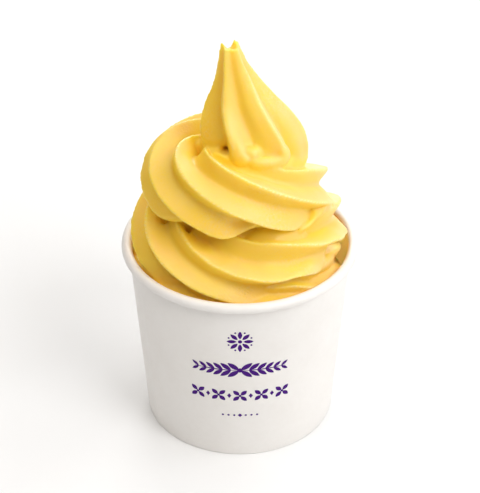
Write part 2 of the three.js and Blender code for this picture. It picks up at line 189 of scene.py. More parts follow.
def joined(skins: Sequence[Skin]) -> Skin:
    """Gathers several skins in one.

    Args:
        skins: The skins, which may cut through each other.

    Returns:
        One skin with the points and faces of all, in order.
    """
    faces, start = [], 0
    for skin in skins:
        faces += [[i + start for i in face] for face in skin.faces]
        start += len(skin.points)
    return Skin(np.vstack([s.points for s in skins]), faces, np.concatenate([s.ridge for s in skins]))


def rod(table: Table, middle: Callable[[np.ndarray], Any], deep: float) -> Skin:
    """Builds a round-ended rod that bends about an upright line.

    Args:
        table: Rows of direction from the line in degrees, distance from it, height and the rod's radius.
        middle: Gives the line's x at each height.
        deep: The line's y.

    Returns:
        The skin.
    """
    turn, away, height, radius = catmull_rom(table, np.linspace(0, len(table) - 1, ROD_STEPS)).T
    turn = np.radians(turn)
    path = np.stack([middle(height) + away * np.cos(turn), deep + away * np.sin(turn), height], 1)
    along = np.gradient(path, axis=0)
    along /= np.linalg.norm(along, axis=1)[:, None]
    side = np.cross(along, path * (1, 1, 0))
    side /= np.linalg.norm(side, axis=1)[:, None]
    outward = np.cross(side, along)
    angles = np.arange(ROD_SIDES)[:, None] * 2 * math.pi / ROD_SIDES
    steps = np.arange(ROD_STEPS)
    from_end = np.minimum(steps, steps[::-1]) / ROD_END_STEPS
    size = radius * np.sqrt(np.clip(1 - np.maximum(0.0, 1 - from_end) ** 2, ROD_END_LEAST, 1.0))
    ring = side[:, None] * np.cos(angles) + outward[:, None] * np.sin(angles)
    skin = lofted(path[:, None] + size[:, None, None] * ring)
    skin.ridge[:] = ROD_RIDGE
    return skin


def linked(name: str, skin: Skin) -> Object:
    """Makes an object at the origin from a skin, in metres.

    Args:
        name: The name of the object and its mesh.
        skin: The skin.

    Returns:
        The object, with its faces turned outwards.
    """
    mesh = bpy.data.meshes.new(name)
    mesh.from_pydata((skin.points * MM).tolist(), [], skin.faces)
    work = bmesh.new()
    work.from_mesh(mesh)
    bmesh.ops.recalc_face_normals(work, faces=work.faces)
    work.to_mesh(mesh)
    work.free()
    piece = bpy.data.objects.new(name, mesh)
    bpy.context.scene.collection.objects.link(piece)
    return piece


def settled(piece: Object) -> Object:
    """Turns an object's modifiers into its own plain mesh, and removes them.

    Args:
        piece: The object.

    Returns:
        The same object.
    """
    mesh = bpy.data.meshes.new_from_object(piece.evaluated_get(bpy.context.evaluated_depsgraph_get()))
    piece.modifiers.clear()
    piece.data = mesh
    return piece


def read_rows(items: Any, name: str, width: int = 3) -> np.ndarray:
    """Reads one value of each item of a mesh.

    Args:
        items: The mesh's vertices, normals or the data of an attribute.
        name: What is read of each.
        width: How many numbers the value has.

    Returns:
        A row of numbers for each item.
    """
    flat = np.zeros(len(items) * width, np.float32)
    items.foreach_get(name, flat)
    return flat.reshape(-1, width).astype(float)


def vertex_array(mesh: Mesh) -> np.ndarray:
    """Reads a mesh's vertices as rows of x, y, z in millimetres."""
    return read_rows(mesh.vertices, "co") / MM


def vertex_normals(mesh: Mesh) -> np.ndarray:
    """Reads a mesh's vertex normals as rows of x, y, z."""
    return read_rows(mesh.vertex_normals, "vector")


def store_floats(mesh: Mesh, name: str, values: Sequence[float]) -> None:
    """Stores one number for each vertex under a name."""
    layer = mesh.attributes.get(name) or mesh.attributes.new(name, "FLOAT", "POINT")
    layer.data.foreach_set("value", np.array(values, np.float32))


def spread(mesh: Mesh, values: np.ndarray, rounds: int) -> np.ndarray:
    """Evens out one number for each vertex with its neighbours.

    Args:
        mesh: The mesh whose edges join neighbours.
        values: The number of each vertex.
        rounds: How often it is evened out.

    Returns:
        The new numbers.
    """
    ends = np.zeros(len(mesh.edges) * 2, np.int32)
    mesh.edges.foreach_get("vertices", ends)
    near = ends.reshape(-1, 2)[:, ::-1].ravel()
    count = np.bincount(ends, minlength=len(values)) + 1
    for _ in range(rounds):
        values = (values + np.bincount(ends, values[near], len(values))) / count
    return values


def noise_at(points: np.ndarray, size: float, shift: float = 0.0) -> np.ndarray:
    """Reads smooth noise of a given grain at each point.

    Args:
        points: Rows of x, y, z.
        size: The grain's size.
        shift: Moves the noise, so that two uses differ.

    Returns:
        A value from about -1 to 1 for each point.
    """
    return np.array([noise.noise(Vector(point)) for point in (points / size + shift).tolist()])


def riding(piece: Object, node: str) -> Object:
    """Ties a finished piece to the cup's body.

    Args:
        piece: The piece, in place.
        node: The solid that it stands for.

    Returns:
        The same piece.
    """
    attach(piece, BODY)
    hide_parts(node)
    LOG.info("%s: %d faces", piece.name, len(piece.data.polygons))
    return piece


def dressed(piece: Object, material: Material, sharp_deg: float | None = None) -> Object:
    """Gives a piece its one material and smooth shading.

    Args:
        piece: The piece.
        material: Its material.
        sharp_deg: The angle past which an edge is shown sharp, if any is.

    Returns:
        The same piece.
    """
    piece.data.materials.clear()
    piece.data.materials.append(material)
    piece.data.shade_smooth()
    if sharp_deg is not None:
        piece.data.set_sharp_from_angle(angle=math.radians(sharp_deg))
    return piece


# ---------------------------------------------------------------- nodes


@dataclass(frozen=True)
class Wire:
    """One output of a node. Signs between wires and numbers add Math nodes to its sheet."""

    sheet: "NodeSheet"
    socket: NodeSocket

    def __add__(self, other: Any) -> "Wire":
        """Adds another wire or a number."""
        return self.sheet.math("ADD", self, other)

    def __sub__(self, other: Any) -> "Wire":
        """Takes away another wire or a number."""
        return self.sheet.math("SUBTRACT", self, other)

    def __rsub__(self, other: Any) -> "Wire":
        """Takes this wire away from a number."""
        return self.sheet.math("SUBTRACT", other, self)

    def __mul__(self, other: Any) -> "Wire":
        """Multiplies by another wire or a number."""
        return self.sheet.math("MULTIPLY", self, other)

    def __truediv__(self, other: Any) -> "Wire":
        """Divides by another wire or a number."""
        return self.sheet.math("DIVIDE", self, other)


@dataclass
class NodeSheet:
    """Adds nodes to a tree and links them, so that a tree reads as one list of steps."""

    tree: NodeTree

    def feed(self, node: Node, inputs: dict[Any, Any]) -> Node:
        """Gives a node's inputs their values or wires.

        Args:
            node: The node.
            inputs: For each input, by name or number, a value or a wire.

        Returns:
            The same node.
        """
        for key, value in inputs.items():
            if isinstance(value, Wire):
                self.tree.links.new(value.socket, node.inputs[key])
            else:
                node.inputs[key].default_value = value
        return node

    def add(self, kind: str, inputs: dict[Any, Any] | None = None, **settings: Any) -> Node:
        """Adds one node.

        Args:
            kind: Blender's name of the node type.
            inputs: For each input, by name or number, a value or a wire.
            settings: The node's own properties.

        Returns:
            The new node.
        """
        node = self.tree.nodes.new(kind)
        for key, value in settings.items():
            setattr(node, key, value)
        return self.feed(node, inputs or {})

    def wire(self, kind: str, output: Any = 0, inputs: dict[Any, Any] | None = None, **settings: Any) -> Wire:
        """Adds one node as add does, and returns the wire from one of its outputs, by name or number."""
        return Wire(self, self.add(kind, inputs, **settings).outputs[output])

    def math(self, operation: str, *values: Any) -> Wire:
        """Adds a Math node over values or wires."""
        return self.wire("ShaderNodeMath", 0, dict(enumerate(values)), operation=operation)

    def vector(self, x: Any = 0.0, y: Any = 0.0, z: Any = 0.0) -> Wire:
        """Joins three values or wires to a vector."""
        return self.wire("ShaderNodeCombineXYZ", 0, {"X": x, "Y": y, "Z": z})

    def attribute(self, name: str) -> Wire:
        """Reads a number stored on the piece."""
        return self.wire("ShaderNodeAttribute", "Fac", attribute_name=name)

    def grain(self, scale: float, detail: float, roughness: float = 0.5) -> Wire:
        """Adds noise over the piece's own coordinates, with so many grains to the metre."""
        place = self.wire("ShaderNodeTexCoord", "Object")
        return self.wire("ShaderNodeTexNoise", "Fac", {
            "Vector": place, "Scale": scale, "Detail": detail, "Roughness": roughness})

    def ranged(self, value: Wire, low: float, high: float, to_low: float, to_high: float) -> Wire:
        """Carries a wire's range from low to high over to another range, and holds it there."""
        return self.wire("ShaderNodeMapRange", 0, {
            "Value": value, "From Min": low, "From Max": high, "To Min": to_low, "To Max": to_high})

    def blend(self, share: Wire, first: Any, second: Any) -> Wire:
        """Mixes two colours."""
        return self.wire("ShaderNodeMix", 2, {0: share, 6: first, 7: second}, data_type="RGBA")

    def bump(self, height: Wire, strength: float, distance: float) -> Wire:
        """Turns a height into a bumpy normal."""
        return self.wire("ShaderNodeBump", 0, {
            "Height": height, "Strength": strength, "Distance": distance})

    def ramp(self, source: Wire, stops: Sequence[tuple[float, Colour]]) -> Wire:
        """Adds a Color Ramp.

        Args:
            source: What the ramp reads.
            stops: Pairs of position and colour.

        Returns:
            The ramp's colour.
        """
        node = self.add("ShaderNodeValToRGB", {"Fac": source})
        while len(node.color_ramp.elements) < len(stops):
            node.color_ramp.elements.new(0.5)
        for element, (position, colour) in zip(node.color_ramp.elements, stops):
            element.position, element.color = position, colour
        return Wire(self, node.outputs["Color"])

    def named(self, name: str) -> Wire:
        """Reads a number stored on the points, in a Geometry Nodes tree."""
        return self.wire("GeometryNodeInputNamedAttribute", 0, {"Name": name}, data_type="FLOAT")

    def moved(self, geometry: Wire, place: Wire) -> Wire:
        """Puts each point of a geometry in its place."""
        return self.wire("GeometryNodeSetPosition", 0, {"Geometry": geometry, "Position": place})

    def closed(self, geometry: Wire, material: Wire) -> NodeTree:
        """Ends a Geometry Nodes tree.

        Args:
            geometry: What the tree has made.
            material: The material that it is given.

        Returns:
            The finished tree.
        """
        real = self.wire("GeometryNodeRealizeInstances", 0, {"Geometry": geometry})
        given = self.wire("GeometryNodeSetMaterial", 0, {"Geometry": real, "Material": material})
        self.add("NodeGroupOutput", {0: given})
        return self.tree


def shader_sheet(name: str) -> tuple[Material, NodeSheet, Node]:
    """Makes an empty material with one Principled BSDF.

    Args:
        name: The material's name.

    Returns:
        The material, its node sheet and its Principled node.
    """
    material = bpy.data.materials.new(name)
    material.use_nodes = True
    material.node_tree.nodes.clear()
    sheet = NodeSheet(material.node_tree)
    surface = sheet.add("ShaderNodeBsdfPrincipled")
    sheet.add("ShaderNodeOutputMaterial", {"Surface": Wire(sheet, surface.outputs[0])})
    return material, sheet, surface


def geometry_sheet(name: str, sizes: dict[str, tuple[str, Any]]) -> tuple[NodeSheet, dict[str, Wire]]:
    """Makes an empty Geometry Nodes tree with named inputs.

    Args:
        name: The tree's name.
        sizes: The kind and the starting value of each input after the points and before the material.

    Returns:
        The tree's sheet, and the wire from each input.
    """
    tree = bpy.data.node_groups.new(name, "GeometryNodeTree")
    inputs = {"Points": ("Geometry", None), **sizes, "Material": ("Material", None)}
    for label, (kind, value) in inputs.items():
        socket = tree.interface.new_socket(label, in_out="INPUT", socket_type="NodeSocket" + kind)
        if value is not None:
            socket.default_value = value
    tree.interface.new_socket("Result", in_out="OUTPUT", socket_type="NodeSocketGeometry")
    sheet = NodeSheet(tree)
    outputs = sheet.add("NodeGroupInput").outputs
    return sheet, {label: Wire(sheet, outputs[label]) for label in inputs}


def grown(
    name: str, places: Table, stored: dict[str, Sequence[float]], tree: NodeTree, inputs: dict[str, Any]
) -> Object:
    """Runs a Geometry Nodes tree over a few points, and keeps the result as a plain mesh.

    Args:
        name: The new object's name.
        places: The points, in millimetres.
        stored: The numbers that each point carries, by name.
        tree: The tree.
        inputs: A value for each of the tree's inputs.

    Returns:
        The new object.
    """
    piece = linked(name, Skin(np.array(places, float), [], np.zeros(len(places))))
    for label, values in stored.items():
        store_floats(piece.data, label, values)
    layer = piece.modifiers.new(tree.name, "NODES")
    layer.node_group = tree
    for item in tree.interface.items_tree:
        if item.in_out == "INPUT" and item.name in inputs:
            layer[item.identifier] = inputs[item.name]
    return settled(piece)


# ---------------------------------------------------------------- finishes


@dataclass(frozen=True)
class YogurtFinish:
    """Moist, softly see-through frozen yogurt with a slightly frosty skin.

    A grain has the noise's scale, detail and roughness. The frost speckle and relief have a share that comes
    with frost and one that is everywhere, and relief also has the mottle's share. Bump has a strength and a
    distance. The colour
    carries painted light and shade: a painted light tone with painted crest highlights, painted glints in the
    frost speckle, and a painted bounce colour in crevices.
    """

    # The ramp's colours, read by the painted light tone: deep for the painted shaded side, pale for the
    # painted lit side, crest for the painted highlight along crests.
    deep: Colour = (0.985, 0.605, 0.03, 1.0)
    middle: Colour = (0.985, 0.64, 0.085, 1.0)
    pale: Colour = (0.95, 0.64, 0.20, 1.0)
    crest: Colour = (0.95, 0.69, 0.30, 1.0)
    # Painted bounce light: the paler, yellower colour that crevices take in place of light bounced between
    # folds of yogurt.
    groove: Colour = (0.995, 0.72, 0.075, 1.0)
    middle_at: float = 0.4
    pale_at: float = 0.75
    painted_crevice_range: tuple[float, float, float, float] = (0.9, 0.4, 0.0, 0.9)
    mottle_grain: tuple[float, float] = (90.0, 4.0)
    patch_grain: tuple[float, float] = (55.0, 2.0)
    fine_grain: tuple[float, float, float] = (1000.0, 3.0, 0.6)
    patch_gain: float = 3.0
    patch_ease: float = 0.2
    # Specks that are partly the frost's own grain and partly painted glints.
    frost_and_glint_speckle: tuple[float, float] = (1.2, 0.2)
    cloud: float = 0.25
    relief: tuple[float, float, float] = (1.4, 0.15, 0.6)
    bump: tuple[float, float] = (0.5, 0.0004)
    roughness: tuple[float, float] = (0.33, 0.48)
    scatter_weight: float = 0.85
    scatter_radius: tuple[float, float, float] = (1.0, 1.05, 0.7)
    scatter_scale: float = 0.0035
    shine: float = 0.35

    def material(self) -> Material:
        """Builds the material.

        Returns:
            The material.
        """
        material, sheet, surface = shader_sheet("yogurt")
        mottle = sheet.grain(*self.mottle_grain)
        patches = sheet.grain(*self.patch_grain)
        grain = sheet.grain(*self.fine_grain)
        patchy = sheet.math("MAXIMUM", patches - NOISE_MIDDLE, 0.0) * self.patch_gain
        held = sheet.math("SMOOTH_MIN", patchy, 1.0, self.patch_ease)
        frosty = sheet.math("MAXIMUM", held, sheet.attribute("frost"))
        # Pale and dark specks, strongest in frosty patches: partly the frost's own grain, partly painted
        # glints.
        frost_and_glint_speckle = (grain - NOISE_MIDDLE) * (frosty * self.frost_and_glint_speckle[0] + self.frost_and_glint_speckle[1])
        # The colour is read from random mottle, the painted light and shade of the tone attribute, and the
        # specks.
        shade = (mottle - NOISE_MIDDLE) * self.cloud + sheet.attribute("painted_light_tone") + frost_and_glint_speckle
        colour = sheet.ramp(shade, [
            (0.0, self.deep), (self.middle_at, self.middle), (self.pale_at, self.pale), (1.0, self.crest)])
        # Painted bounce light in crevices: the less open the skin, the more its colour turns to the groove
        # colour.
        hollow = sheet.ranged(sheet.attribute("open"), *self.painted_crevice_range)
        height = grain * (frosty * self.relief[0] + self.relief[1]) + mottle * self.relief[2]
        sheet.feed(surface, {
            "Base Color": sheet.blend(hollow, colour, self.groove),
            "Roughness": sheet.ranged(grain, *NOISE_SPAN, *self.roughness),
            "Normal": sheet.bump(height, *self.bump),
            "Subsurface Weight": self.scatter_weight,
            "Subsurface Radius": self.scatter_radius,
            "Subsurface Scale": self.scatter_scale,
            "Specular IOR Level": self.shine})
        return material


@dataclass(frozen=True)
class PaperFinish:
    """Smooth coated white paper board.

    Inside the cup a yellow tint paints the light bounced onto it from the yogurt, and some light comes
    through.
    """

    name: str = "paper"
    pale: Colour = (0.885, 0.86, 0.83, 1.0)
    dull: Colour = (0.85, 0.82, 0.785, 1.0)
    # Painted bounce light: the yellow that the inside takes in place of light bounced from the yogurt.
    painted_bounce_tint: Colour = (0.99, 0.67, 0.33, 1.0)
    fibre_grain: tuple[float, float, float] = (420.0, 5.0, 0.65)
    cloud_grain: tuple[float, float] = (60.0, 3.0)
    fibre_share: float = 0.4
    dull_at: float = 0.3
    pale_at: float = 0.62
    roughness: float = 0.48
    roughness_swing: tuple[float, float] = (-0.05, 0.06)
    bump: tuple[float, float] = (0.12, 0.0001)
    glow_radius: tuple[float, float, float] = (1.8, 1.0, 0.75)
    glow_scale: float = 0.003

    def material(self) -> Material:
        """Builds the material.

        Returns:
            The material.
        """
        material, sheet, surface = shader_sheet(self.name)
        fibres = sheet.grain(*self.fibre_grain)
        clouds = sheet.grain(*self.cloud_grain)
        mix = fibres * self.fibre_share + clouds * (1 - self.fibre_share)
        board = sheet.ramp(mix, [(self.dull_at, self.dull), (self.pale_at, self.pale)])
        inside = sheet.attribute("inside")
        low, high = (self.roughness + swing for swing in self.roughness_swing)
        sheet.feed(surface, {
            # The inside is tinted with painted bounce light from the yogurt.
            "Base Color": sheet.blend(inside, board, self.painted_bounce_tint),
            "Roughness": sheet.ranged(clouds, *NOISE_SPAN, low, high),
            "Normal": sheet.bump(fibres, *self.bump),
            "Subsurface Weight": inside,
            "Subsurface Radius": self.glow_radius,
            "Subsurface Scale": self.glow_scale})
        return material


@dataclass(frozen=True)
class InkFinish:
    """Purple printing ink, a little uneven in density."""

    deep: Colour = (0.05, 0.001, 0.17, 1.0)
    thin: Colour = (0.07, 0.002, 0.22, 1.0)
    grain: tuple[float, float] = (1500.0, 3.0)
    deep_at: float = 0.35
    thin_at: float = 0.7
    roughness: float = 0.6
    shine: float = 0.2

    def material(self) -> Material:
        """Builds the material.

        Returns:
            The material.
        """
        material, sheet, surface = shader_sheet("ink")
        density = sheet.grain(*self.grain)
        colour = sheet.ramp(density, [(self.deep_at, self.deep), (self.thin_at, self.thin)])
        sheet.feed(surface, {
            "Base Color": colour, "Roughness": self.roughness, "Specular IOR Level": self.shine})
        return material


@dataclass(frozen=True)
class FloorFinish:
    """Plain pale studio floor."""

    colour: Colour = (0.84, 0.84, 0.84, 1.0)
    roughness: float = 0.9
    shine: float = 0.1

    def material(self) -> Material:
        """Builds the material.

        Returns:
            The material.
        """
        material, sheet, surface = shader_sheet("floor")
        sheet.feed(surface, {
            "Base Color": self.colour, "Roughness": self.roughness, "Specular IOR Level": self.shine})
        return material


# ---------------------------------------------------------------- the cup


@dataclass(frozen=True)
class CupForm:
    """Sizes of the cup's wall, rim, hem and bottom."""

    height: float = 81.0
    base_radius: float = 38.5
    rim_radius: float = 47.5
    roll: float = 2.04
    shoulder_radius: float = 44.55
    wall: float = 0.7
    hem_wall: float = 0.5
    hem_height: float = 6.0
    hem_fold: float = 1.0
    skirt_wall: float = 0.5
    skirt_foot: float = 1.4
    floor_top: float = 8.6
    floor_thickness: float = 0.6
    gap: float = 0.3
    under_rim: float = 0.5
    free_radius: float = 1e3

    @property
    def shoulder_height(self) -> float:
        """Height where the wall meets the rolled rim."""
        return self.height - 2 * self.roll

    @property
    def flare(self) -> float:
        """How much wider the wall gets for each millimetre of height."""
        return (self.shoulder_radius - self.base_radius) / self.shoulder_height

    def wall_radius(self, height: Any) -> Any:
        """Outside radius of the wall at a height."""
        return self.base_radius + self.flare * height

    def inner_limit(self, height: np.ndarray) -> np.ndarray:
        """How far out the yogurt may reach at each height, clear of wall and rim.

        Args:
            height: Heights above the ground.

        Returns:
            The radius at each height, very large above the rim.
        """
        wall = self.wall_radius(height) - self.wall - self.gap
        reach = self.roll + self.gap
        above = np.clip(height - (self.height - self.roll), -reach, reach)
        rim = self.rim_radius - self.roll - np.sqrt(np.maximum(reach**2 - above**2, 0.0))
        limit = np.where(height > self.height - self.roll - self.under_rim, np.minimum(wall, rim), wall)
        return np.where(height > self.height + self.gap, self.free_radius, limit)


@dataclass
class PaperCup:
    """The paper cup: its wall with rim, seam and hem, and its bottom."""

    form: CupForm = field(default_factory=CupForm)
    paper: PaperFinish = field(default_factory=PaperFinish)
    bottom_paper: PaperFinish = field(default_factory=lambda: PaperFinish("paper_bottom", roughness=0.55))
    wall_sides: int = 288
    bottom_sides: int = 192
    roll_arc: tuple[float, float, int] = (-120.0, 210.0, 34)
    outer_levels: tuple[float, float, int] = (3.0, 76.0, 26)
    inner_levels: tuple[float, float, int] = (74.0, 1.0, 14)
    foot_round: float = 0.5
    foot_steps: int = 6
    foot_level: float = 1.2
    seam_deg: float = 207.0
    seam_step: float = 0.28
    seam_edge_deg: float = 0.7
    seam_fade_deg: float = 9.0
    seam_rim_loss: float = 0.3
    seam_rise: float = 0.35
    outer_band: tuple[float, float] = (-0.4, 0.1)
    inner_band: tuple[float, float] = (-0.2, -0.5)
    painted_bounce_depth: float = 3.0
    waver: Table = ((3, 0.7, 0.1), (7, 2.1, 0.06))
    pole: float = 0.02
    flat: float = 20.0
    fold: Table = ((1.4, 0.0), (0.4, 0.25))
    fold_drop: float = 0.8
    edge_round: float = 0.5
    wall_sharp_deg: float = 40.0
    bottom_sharp_deg: float = 35.0

    def wall_outline(self) -> list[tuple[float, float]]:
        """Lists the wall's outline, from its foot up the outside, over the rim and down the inside.

        Returns:
            Pairs of radius and height.
        """
        form = self.form
        inside = form.wall + form.skirt_wall + 2 * form.gap
        across, level = form.rim_radius - form.roll, form.height - form.roll
        start, end, steps = self.roll_arc
        arc = np.radians(np.linspace(start, end, steps))
        quarter = np.linspace(0.0, math.pi / 2, self.foot_steps)
        foot = form.wall_radius(form.hem_fold) - inside
        top = form.wall_radius(form.hem_height) - inside
        outer = (self.foot_level, *np.linspace(*self.outer_levels))
        inner = (form.shoulder_height, *np.linspace(*self.inner_levels))
        edge = form.wall_radius(0.0) - self.foot_round
        return [
            *((edge + self.foot_round * math.sin(a), self.foot_round * (1 - math.cos(a))) for a in quarter),
            *((form.wall_radius(z), z) for z in outer),
            *((across + form.roll * math.cos(a), level + form.roll * math.sin(a)) for a in arc),
            *((form.wall_radius(z) - form.wall, z) for z in inner),
            (foot, form.hem_fold), (top, form.hem_height), (top - form.hem_wall, form.hem_height),
            (form.wall_radius(0) - inside - form.hem_wall, 0.0)]

    def lapped(self, points: np.ndarray) -> np.ndarray:
        """Gives the wall its lapped seam and the rim its slight waver.

        Args:
            points: The turned wall's points.

        Returns:
            The points, moved by a fraction of a millimetre.
        """
        radius, turn = np.hypot(points[:, 0], points[:, 1]), np.arctan2(points[:, 1], points[:, 0])
        past = np.degrees((turn - math.radians(self.seam_deg)) % (2 * math.pi))
        fade = np.clip(1 - past / self.seam_fade_deg, 0.0, 1.0) * smooth_step(0.0, self.seam_edge_deg, past)
        step = self.seam_step * fade
        outer = smooth_step(*self.outer_band, radius - self.form.wall_radius(points[:, 2]))
        rim = smooth_step(self.form.shoulder_height, self.form.height, points[:, 2])
        waver = sum(size * np.sin(count * turn + start) for count, start, size in self.waver)
        loss = np.abs(waver * rim) / 2
        scale = (radius + step * outer * (1 - self.seam_rim_loss * rim) - loss) / radius
        return np.stack([points[:, 0] * scale, points[:, 1] * scale,
                         points[:, 2] - loss - self.seam_rise * step * rim], 1)

    def build_wall(self) -> Object:
        """Builds the wall piece, with painted bounce light from the yogurt marked on its inside.

        Returns:
            The piece.
        """
        form, skin = self.form, turned(self.wall_outline(), self.wall_sides)
        radius, height = np.hypot(skin.points[:, 0], skin.points[:, 1]), skin.points[:, 2]
        skin.points = self.lapped(skin.points)
        wall = linked("cup_wall_paper", skin)
        inner = 1 - smooth_step(*self.inner_band[::-1], radius - form.wall_radius(height))
        # The painted bounce light on the inside fades out over the last millimetres under the rim.
        below = 1 - smooth_step(form.height - self.painted_bounce_depth, form.height, height)
        store_floats(wall.data, "inside", np.where(height > form.hem_height, inner * below, 0.0))
        return riding(dressed(wall, self.paper.material(), self.wall_sharp_deg), "cup_wall")

    def build_bottom(self) -> Object:
        """Builds the bottom piece, a disc with its edge turned down.

        Returns:
            The piece.
        """
        form = self.form

        def edge(height: float) -> float:
            """Outside radius of the turned-down edge at a height."""
            return form.wall_radius(height) - form.wall - form.gap

        under, skirt = form.floor_top - form.floor_thickness, edge(form.skirt_foot) - form.skirt_wall
        rounded = form.floor_top - self.edge_round
        skin = turned([
            (self.pole, under), (self.flat, under),
            *((skirt - inward, under - drop) for inward, drop in self.fold),
            (edge(form.hem_height) - form.skirt_wall, under - self.fold_drop), (skirt, form.skirt_foot),
            (edge(form.skirt_foot), form.skirt_foot), (edge(rounded), rounded),
            (edge(form.floor_top) - self.edge_round, form.floor_top), (self.flat, form.floor_top),
            (self.pole, form.floor_top)], self.bottom_sides)
        bottom = linked("cup_bottom_paper", skin)
        dressed(bottom, self.bottom_paper.material(), self.bottom_sharp_deg)
        return riding(bottom, "cup_bottom")


# ---------------------------------------------------------------- the printed motif


class InkShape(IntEnum):
    """The flat shapes that the motif is made of."""

    LEAF = 0
    DISC = 1
    DIAMOND = 2


@dataclass(frozen=True)
class InkMark:
    """One printed shape: its middle, direction and size on the flattened wall."""

    shape: InkShape
    across: float
    up: float
    turn_deg: float
    length: float
    width: float


def ring_of(
    shape: InkShape, across: float, up: float, count: int, first_deg: float, size: Sequence[float]
) -> list[InkMark]:
    """Lists marks set evenly in a ring, each but a disc pointing outwards.

    Args:
        shape: The shape of each.
        across: The ring's middle.
        up: The height of its middle.
        count: How many marks there are.
        first_deg: The direction of the first.
        size: The ring's radius, and the length and width of each mark.

    Returns:
        The marks.
    """
    reach, length, width = size
    marks = []
    for i in range(count):
        deg = first_deg + i * 360 / count
        out, rise = reach * math.cos(math.radians(deg)), reach * math.sin(math.radians(deg))
        turn_deg = 0.0 if shape is InkShape.DISC else deg
        marks.append(InkMark(shape, across + out, up + rise, turn_deg, length, width))
    return marks


def ink_tree() -> NodeTree:
    """Builds the tree that lays flat shapes on points and wraps them round the cup's wall.

    Its input is a point for each mark, with the attributes shape, turn, length and width.

    Returns:
        The node tree.
    """
    sheet, given = geometry_sheet("ink_marks", {
        "Columns": ("Int", 13), "Rows": ("Int", 7), "Base Radius": ("Float", 0.0), "Flare": ("Float", 0.0),
        "Lift": ("Float", 0.0), "Thinnest": ("Float", 0.03)})
    split = sheet.add("ShaderNodeSeparateXYZ", {0: sheet.wire("GeometryNodeInputPosition")}).outputs
    x, y = Wire(sheet, split["X"]), Wire(sheet, split["Y"])
    along = sheet.math("ABSOLUTE", x) * 2.0
    profiles = {
        InkShape.LEAF: sheet.math("POWER", sheet.math("COSINE", along * (math.pi / 2)), LEAF_POWER),
        InkShape.DISC: sheet.math("SQRT", 1.0 - along * along),
        InkShape.DIAMOND: 1.0 - along,
    }
    size = sheet.vector(sheet.named("length"), sheet.named("width"), 1.0)
    turn = sheet.vector(z=sheet.named("turn"))
    gathered = sheet.add("GeometryNodeJoinGeometry")
    for shape, profile in profiles.items():
        blank = sheet.wire("GeometryNodeMeshGrid", "Mesh", {
            "Size X": 1.0, "Size Y": 1.0, "Vertices X": given["Columns"], "Vertices Y": given["Rows"]})
        flat = sheet.moved(blank, sheet.vector(x, y * sheet.math("MAXIMUM", profile, given["Thinnest"])))
        chosen = sheet.wire("FunctionNodeCompare", 0, {
            0: sheet.named("shape"), 1: float(shape), "Epsilon": 0.1}, data_type="FLOAT", operation="EQUAL")
        laid = sheet.wire("GeometryNodeInstanceOnPoints", 0, {
            "Points": given["Points"], "Selection": chosen, "Instance": flat,
            "Rotation": turn, "Scale": size})
        sheet.feed(gathered, {0: laid})
    real = sheet.wire("GeometryNodeRealizeInstances", 0, {"Geometry": Wire(sheet, gathered.outputs[0])})
    radius = y * given["Flare"] + given["Base Radius"] + given["Lift"]
    around = x / radius + FRONT
    wrapped = sheet.vector(radius * sheet.math("COSINE", around), radius * sheet.math("SINE", around), y)
    return sheet.closed(sheet.moved(real, wrapped), given["Material"])


